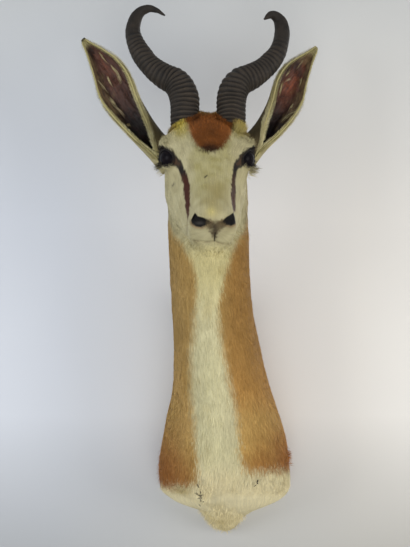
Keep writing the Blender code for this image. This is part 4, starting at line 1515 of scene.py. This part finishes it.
def ear_back_colour(points, share, column, margin):
    """Tan hair with a pale rim, darkened by painted shade where the ear's root is rolled."""
    rolled = ramp(0.55, 0.30, share) * ramp(0.62, 0.40, column)
    return layered(
        EAR_BACK,
        # Painted shade where the ear's root is rolled.
        (EAR_BACK_SHADE, rolled),
        (FACE_HAIR, ramp(0.32, 0.18, share) * ramp(0.55, 0.72, column)),
        (EAR_RIM, ramp(0.034, 0.012, margin + 0.010 * noise(points, 0.004, 48))),
        (DARK_HAIR, 0.35 * ramp(0.2, 0.7, noise(points, 0.008, 47)) * rolled),
    )


def sheet_faces(rows, columns):
    """The quads of a thick sheet, whose points are one grid and then another behind it."""
    grid = np.arange(rows * columns).reshape(rows, columns)
    quads = grid_faces(rows, columns, False)
    faces = [quads, quads[:, ::-1] + grid.size]
    for line, way in ((grid[:, 0], -1), (grid[:, -1], 1), (grid[0], 1), (grid[-1], -1)):
        strip = np.stack([line[:-1], line[1:], line[1:] + grid.size, line[:-1] + grid.size], 1)
        faces.append(strip[:, ::way])
    return np.concatenate(faces)


def make_ear(name, ear):
    """A thick sheet with hide on its back, wrinkled skin on its inner side, and its hair."""
    points, share, column = ear_surface(ear)
    normals, flows = open_directions(points, ear["side"])
    margin = np.minimum(column, 1 - column)
    half = EAR_THICKNESS / 2 * (0.35 + 0.65 * ramp(0.0, 0.10, margin))[..., None]
    turned = 0.0016 * ramp(0.045, 0.0, margin)
    folds = 0.0024 * np.sin(column * 26 + 3 * noise(points, 0.03, 41))
    folds = folds * ramp(0.10, 0.25, margin) * ramp(0.85, 0.45, share)
    crumple = 0.0020 * noise(points * (1, 1, 0.6), 0.010, 42) + 0.0011 * noise(points, 0.004, 43)
    crumple = crumple * ramp(0.02, 0.14, margin) * ramp(1.0, 0.9, share)
    back = points + normals * half
    inner = points - normals * half - normals * (folds * 0.6 + crumple + turned)[..., None]
    inner_colour = ear_inner_colour(ear, points, share, column, margin)
    back_colour = ear_back_colour(points, share, column, margin)
    if name == "left":
        dark_tip = ramp(0.978, 0.99, share)
        inner_colour = left_ear_shaded(chart(inner), mix(inner_colour, DARK_HAIR, dark_tip))
        back_colour = left_ear_shaded(chart(back), mix(back_colour, DARK_HAIR, dark_tip),
                                      ramp(0.1, -0.2, normals[..., 1]))

    faces = sheet_faces(EAR_ROWS, EAR_COLUMNS)
    obj = mesh_object(f"ear_{name}", np.stack([back, inner]).reshape(-1, 3), faces, [HIDE, EAR_INSIDE])
    is_inner = np.arange(len(faces)) // ((EAR_ROWS - 1) * (EAR_COLUMNS - 1)) == 1
    obj.data.polygons.foreach_set("material_index", is_inner.astype(np.int32))
    paint(obj, "marking", np.stack([back_colour, inner_colour]).reshape(-1, 3))
    strand = np.stack([column * 30, share * 9, np.zeros_like(share)], -1)
    store(obj, "strand", "FLOAT_VECTOR", np.stack([strand, strand + 7]))
    turn_outwards(obj)
    finish_piece(obj, "hide")
    make_ear_hair(name, ear, back, inner, normals, flows, share, column, back_colour, inner_colour)


def make_ear_hair(name, ear, back, inner, normals, flows, share, column, back_colour, inner_colour):
    """Short fur on the ear's back, a fringe along its margins and a few pale wisps inside."""
    margin = np.minimum(column, 1 - column)
    parts = []

    def add(grid, its_normals, its_flows, chance, count, length, lift, spread, colour, jitter=0.12):
        where = scatter(grid, chance[:-1, :-1], count, False)
        roots = sample(grid, where, False)
        out = unit(sample(its_normals, where, False))
        lie = swirled(unit(sample(its_flows, where, False)), out, roots, spread, 0.012, 51)
        lengths = length * rng.uniform(0.6, 1.3, count) * ramp(1.06, 0.90, sample(share, where, False))
        shade = 1 + rng.normal(0, jitter, count)
        colours = sample(colour, where, False) * shade[:, None]
        lifts = np.clip(lift + rng.normal(0, 0.10, count), 0.03, 1.2)
        widths = np.clip(lengths * 0.05, 0.0003, 0.0007)
        parts.append((roots, out, lie, lengths, widths, lifts, colours))

    def add_inside(its_flows, chance, *others):
        add(inner, -normals, its_flows, chance, *others)

    seen = ramp(0.02, 0.10, share) * ramp(1.0, 0.97, share)
    away = np.gradient(inner, axis=1) * np.where(column < 0.5, -1, 1)[..., None]
    rim = mix(EAR_RIM, WHITE_HAIR, 0.5 + 0.5 * noise(inner, 0.01, 52))
    places = chart(inner)
    if name == "left":
        rim = left_ear_shaded(places, rim)
    add(back, normals, flows, seen, 12000, 0.0050, 0.14, 0.20, back_colour)
    add_inside(unit(unit(away) + flows * 0.8), seen * (margin < 0.017), 4200, 0.0046, 0.05, 0.40, rim)
    raised = unit(flows * 0.9 + normals * 0.8)
    add(back, normals, raised, seen * (margin < 0.040), 5200, 0.0046, 0.08, 0.45, rim)
    pale = mix(inner_colour, rim, 0.12)
    add_inside(flows, seen * (margin < 0.070), 2200, 0.0045, 0.15, 0.55, pale, 0.4)
    wisp = mix(EAR_WISP, EAR_RIM, 0.5 + 0.5 * noise(inner, 0.01, 53))
    inside = (margin > 0.06) * ramp(0.16, 0.26, share) * ramp(0.92, 0.84, share)
    for start, end in np.array(ear["wisps"]):
        near = bell((np.linalg.norm(places - start, axis=-1), 0, 0.9))
        cell = np.unravel_index(near.argmax(), near.shape)
        run = np.array((end[0] - start[0], 0, start[1] - end[1])) * chart_unit(inner[cell])
        lain = run - normals * (normals @ run)[..., None]
        add_inside(lain, near * inside, WISP_HAIRS, 1.25 * np.linalg.norm(lain[cell]), 0.16, 0.06, wisp)
    short = inside * ramp(0.35, 0.0, np.abs(column - 0.5))
    add_inside(flows, short, 2400, 0.005, 0.15, 0.8, inner_colour * 1.2, 0.45)
    foot = ramp(0.22, 0.16, share) * ramp(0.0, 0.03, share)
    add_inside(flows, foot, 1200, 0.005, 0.15, 0.3, inner_colour)
    grow_hair(f"ear_hair_{name}", *stack_parts(parts))


# ------------------------------------------------------------------ horns and eyes

def make_horn(name, spine):
    """A horn, whose rings lie closer together near its foot and end below its smooth tip."""
    fine = along_curve(spine, np.linspace(0, 1, 401))
    steps = np.linalg.norm(np.diff(fine[:, :3], axis=0), axis=1)
    lengths = np.concatenate([[0], np.cumsum(steps)])
    ringed = lengths[-1] * RINGED_SHARE
    at = np.linspace(0, lengths[-1], HORN_ROWS)
    *middle, radius = (np.interp(at, lengths, values) for values in fine.T)
    middle = np.stack(middle, 1)
    axes = unit(np.gradient(middle, axis=0))
    sides = []
    side = np.array((0.0, 1.0, 0.0))
    for axis in axes:
        side = unit(side - axis * (axis @ side))
        sides.append(side)
    others = np.cross(axes, sides)
    up, turn = np.meshgrid(at, np.linspace(0, math.tau, HORN_COLUMNS, endpoint=False), indexing="ij")
    across, forth = np.cos(turn), np.sin(turn)
    around = across[..., None] * np.array(sides)[:, None] + forth[..., None] * others[:, None]
    surface = middle[:, None] + around * radius[:, None, None]

    growth = math.log(LAST_RING_STEP / FIRST_RING_STEP) / ringed
    phase = (1 - np.exp(-growth * up)) / (growth * FIRST_RING_STEP)
    wobble = 0.20 * noise(surface, 0.011, 61) + 0.42 * noise(surface, 0.030, 62)
    ridge = (0.5 + 0.5 * np.cos(math.tau * (phase + wobble))) ** 0.6
    inner_side = around @ unit(np.array((1.0 if name == "left" else -1.0, -0.75, 0.15)))
    strength = (0.45 + 0.55 * ramp(-0.6, 0.5, inner_side)) * (1 - ramp(0.80, 1.08, up / ringed))
    strength = strength * (0.85 + 0.3 * noise(surface, 0.016, 65))
    fade = np.clip(1 - up / ringed, 0, 1) ** 0.3
    height = (ridge - 0.62) * 2 * RING_DEPTH * (0.45 + 0.75 * fade) * strength
    height = height + 0.00022 * noise(surface, 0.0035, 63) + 0.0005 * noise(surface, 0.02, 64)
    surface = surface + around * (height + ramp(0.030, 0.020, up) * 0.0004)[..., None]

    peak = middle[-1] + axes[-1] * radius[-1] * 0.8
    points = np.concatenate([surface.reshape(-1, 3), [middle[0], peak]])
    obj = mesh_object(f"horn_{name}_ringed", points, grid_faces(HORN_ROWS, HORN_COLUMNS, True), [HORN])
    with edited(obj.data) as bm:
        bm.verts.ensure_lookup_table()
        for start, end in ((0, len(points) - 2), ((HORN_ROWS - 1) * HORN_COLUMNS, len(points) - 1)):
            for column in range(HORN_COLUMNS):
                corners = (start + column, start + (column + 1) % HORN_COLUMNS, end)
                bm.faces.new([bm.verts[corner] for corner in corners]).smooth = True
    shown = np.clip(ridge * strength + (1 - strength) * 0.38, 0, 1)
    store(obj, "ridge", "FLOAT", np.append(shown, [0.3, 0.3]))
    grain = np.stack([across * 14, forth * 14, up * 90], -1)
    store(obj, "grain", "FLOAT_VECTOR", np.append(grain, np.zeros(6)))
    finish_piece(obj, "horn", f"horn_{name}")


def make_eye(name, side):
    """A glass ball and the bare rims of its lids, with their lashes."""
    ball = bpy.data.meshes.new(f"eye_{name}_glass")
    bm = bmesh.new()
    bmesh.ops.create_uvsphere(bm, u_segments=48, v_segments=24, radius=EYE_RADIUS)
    bm.to_mesh(ball)
    bm.free()
    ball.transform(Matrix.Translation(eye_centre(side)))
    ball.shade_smooth()
    ball.materials.append(EYE)
    finish_piece(linked(ball.name, ball), "eye_glass", f"eye_{name}")

    angles = np.concatenate([np.linspace(-OPENING_BACK, OPENING_FRONT, LID_STEPS),
                             np.linspace(OPENING_FRONT, -OPENING_BACK, LID_STEPS)[1:-1]])
    top, bottom = opening_edge(angles)
    upper = np.arange(len(angles)) < LID_STEPS
    heights = np.where(upper, top, -bottom)
    toward = ((np.cos(heights) * np.cos(angles))[:, None] * EYE_GAZE
              + (np.cos(heights) * np.sin(angles))[:, None] * EYE_FRONT
              + np.sin(heights)[:, None] * EYE_UP)
    outward = unit(toward) * (1, side, 1)
    ring = np.array(EYE_PLACE) * (1, side, 1) + outward * (EYE_RADIUS + 0.0006)
    run = unit(np.roll(ring, -1, axis=0) - np.roll(ring, 1, axis=0))
    across = np.cross(run, outward)
    turns = np.linspace(0, math.tau, 10, endpoint=False)
    tube = (ring[:, None] + outward[:, None] * (LID_RIM_HEIGHT * np.cos(turns))[None, :, None]
            + across[:, None] * (LID_RIM_WIDTH * np.sin(turns))[None, :, None])
    points = EYE_MIDPOINT + tube.reshape(-1, 3) @ HEAD_TO_WORLD
    faces = grid_faces(len(ring) + 1, len(turns), True) % len(points)
    rim = mesh_object(f"eyelid_rim_{name}", points, faces, [LID])
    turn_outwards(rim)
    finish_piece(rim, "hide")
    grow_lashes(name, side, ring, outward, angles, upper)


def grow_lashes(name, side, ring, outward, angles, upper):
    """Long dark lashes on the upper lid and a few on the lower lid."""
    back_way = -EYE_FRONT * (1, side, 1) @ HEAD_TO_WORLD
    up_way = EYE_UP * (1, side, 1) @ HEAD_TO_WORLD
    chance = np.where(upper, 1.0, 0.5) * ramp(-0.92, -0.80, angles) * ramp(0.15, -0.45, angles)
    picked = rng.choice(len(ring), LASHES, p=chance / chance.sum())
    roots = EYE_MIDPOINT + ring[picked] @ HEAD_TO_WORLD
    out = unit(outward[picked] @ HEAD_TO_WORLD)
    toward = np.where(upper[picked], 1.0, -0.8)[:, None]
    way = unit(out * 0.9 + up_way * toward * 0.35 + back_way * 0.75 + rng.normal(0, 0.16, (LASHES, 3)))
    lengths = np.where(upper[picked], 0.0080, 0.0055) * rng.uniform(0.6, 1.25, LASHES)
    grow_hair(f"lashes_{name}", roots, out, way, lengths, 0.0006, 0.0, DARK_HAIR)


# ------------------------------------------------------------------ stage, lights and camera

def add_stage():
    """A pale wall that curves into a pale floor, seen only from its front, with painted light and shade
    in its colour.
    """
    nodes = Nodes("stage_wall")
    place = nodes.add("ShaderNodeSeparateXYZ", Vector=nodes.place()).outputs
    soft = nodes.noise(nodes.place(), 1.2, 3.0)
    # Painted light: cooler and darker on the left, warmer and lighter on the right.
    colour = nodes.blend(srgb(209, 213, 219), srgb(230, 227, 220), nodes.span(place["X"], -0.25, 0.2))
    # Painted shade towards the top.
    colour = nodes.blend(colour, srgb(176, 178, 176), nodes.span(place["Z"], 0.30, 0.62, 0.0, 0.75))
    # Painted shadow under the mount: darker towards the bottom and on the floor.
    low = nodes.span(place["Z"], 0.01, -0.19, 0.0, 0.85)
    colour = nodes.blend(colour, (0.485, 0.485, 0.47), low, "MULTIPLY")
    colour = nodes.blend(colour, srgb(196, 196, 192), nodes.span(soft, 0.45, 0.75, 0.0, 0.3))
    nodes.finish(colour, 0.9, Specular_IOR_Level=0.1)
    behind = nodes.add("ShaderNodeNewGeometry").outputs["Backfacing"]
    shadow = nodes.add("ShaderNodeLightPath").outputs["Is Shadow Ray"]
    choice = nodes.add("ShaderNodeMixShader", Fac=nodes.maths("MAXIMUM", behind, shadow))
    nodes.feed(choice.inputs[1], nodes.shader.outputs[0])
    nodes.feed(choice.inputs[2], nodes.add("ShaderNodeBsdfTransparent").outputs[0])
    nodes.feed(nodes.output.inputs["Surface"], choice.outputs[0])

    curve = [(WALL_Y, WALL_TOP)]
    for turn in (math.pi / 2 * index / FLOOR_STEPS for index in range(FLOOR_STEPS + 1)):
        forward, drop = 1 - math.cos(turn), 1 - math.sin(turn)
        curve.append((WALL_Y - FLOOR_BEND * forward, FLOOR_Z + FLOOR_BEND * drop))
    curve.append((FLOOR_FRONT, FLOOR_Z))
    points = [(x, y, z) for y, z in curve for x in (-WALL_HALF_WIDTH, WALL_HALF_WIDTH)]
    wall = mesh_object("stage_wall", points, grid_faces(len(curve), 2, False), [nodes.material])
    wall.data.update()
    if wall.data.polygons[0].normal.y > 0:
        wall.data.flip_normals()


def add_light(name, place, target, size, power, colour):
    data = bpy.data.lights.new(name, "AREA")
    data.shape = "DISK"
    data.size = size
    data.energy = power
    data.color = colour
    obj = linked(name, data)
    obj.location = place
    obj.rotation_euler = (Vector(target) - Vector(place)).to_track_quat("-Z", "Y").to_euler()


def add_world():
    world = bpy.data.worlds.new("soft_room")
    world.use_nodes = True
    shader = world.node_tree.nodes["Background"]
    shader.inputs["Color"].default_value = ROOM_LIGHT
    shader.inputs["Strength"].default_value = ROOM_STRENGTH
    bpy.context.scene.world = world


def add_camera():
    """A camera that sees the chart."""
    data = bpy.data.cameras.new("camera")
    data.sensor_width = SENSOR
    data.lens = SENSOR * CHART_SCALE / CHART_HEIGHT
    obj = linked("camera", data)
    obj.location = (VIEW_X, VIEW_Y, VIEW_Z)
    obj.rotation_euler = (math.pi / 2, 0, 0)
    bpy.context.scene.camera = obj


add_camera()
skin = make_hide()
make_coat(skin)
make_burrs(skin)
make_tufts(skin)
grow_whiskers(skin)
for name, ear in EARS.items():
    make_ear(name, ear)
for name, spine in HORNS.items():
    make_horn(name, spine)
make_eye("left", -1)
make_eye("right", 1)
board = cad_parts["back_board"]
board.data.materials.clear()
board.data.materials.append(wood_material())
add_stage()
add_world()
for name, settings in LIGHTS.items():
    add_light(name, *settings)
bpy.context.scene.view_settings.view_transform = "Standard"
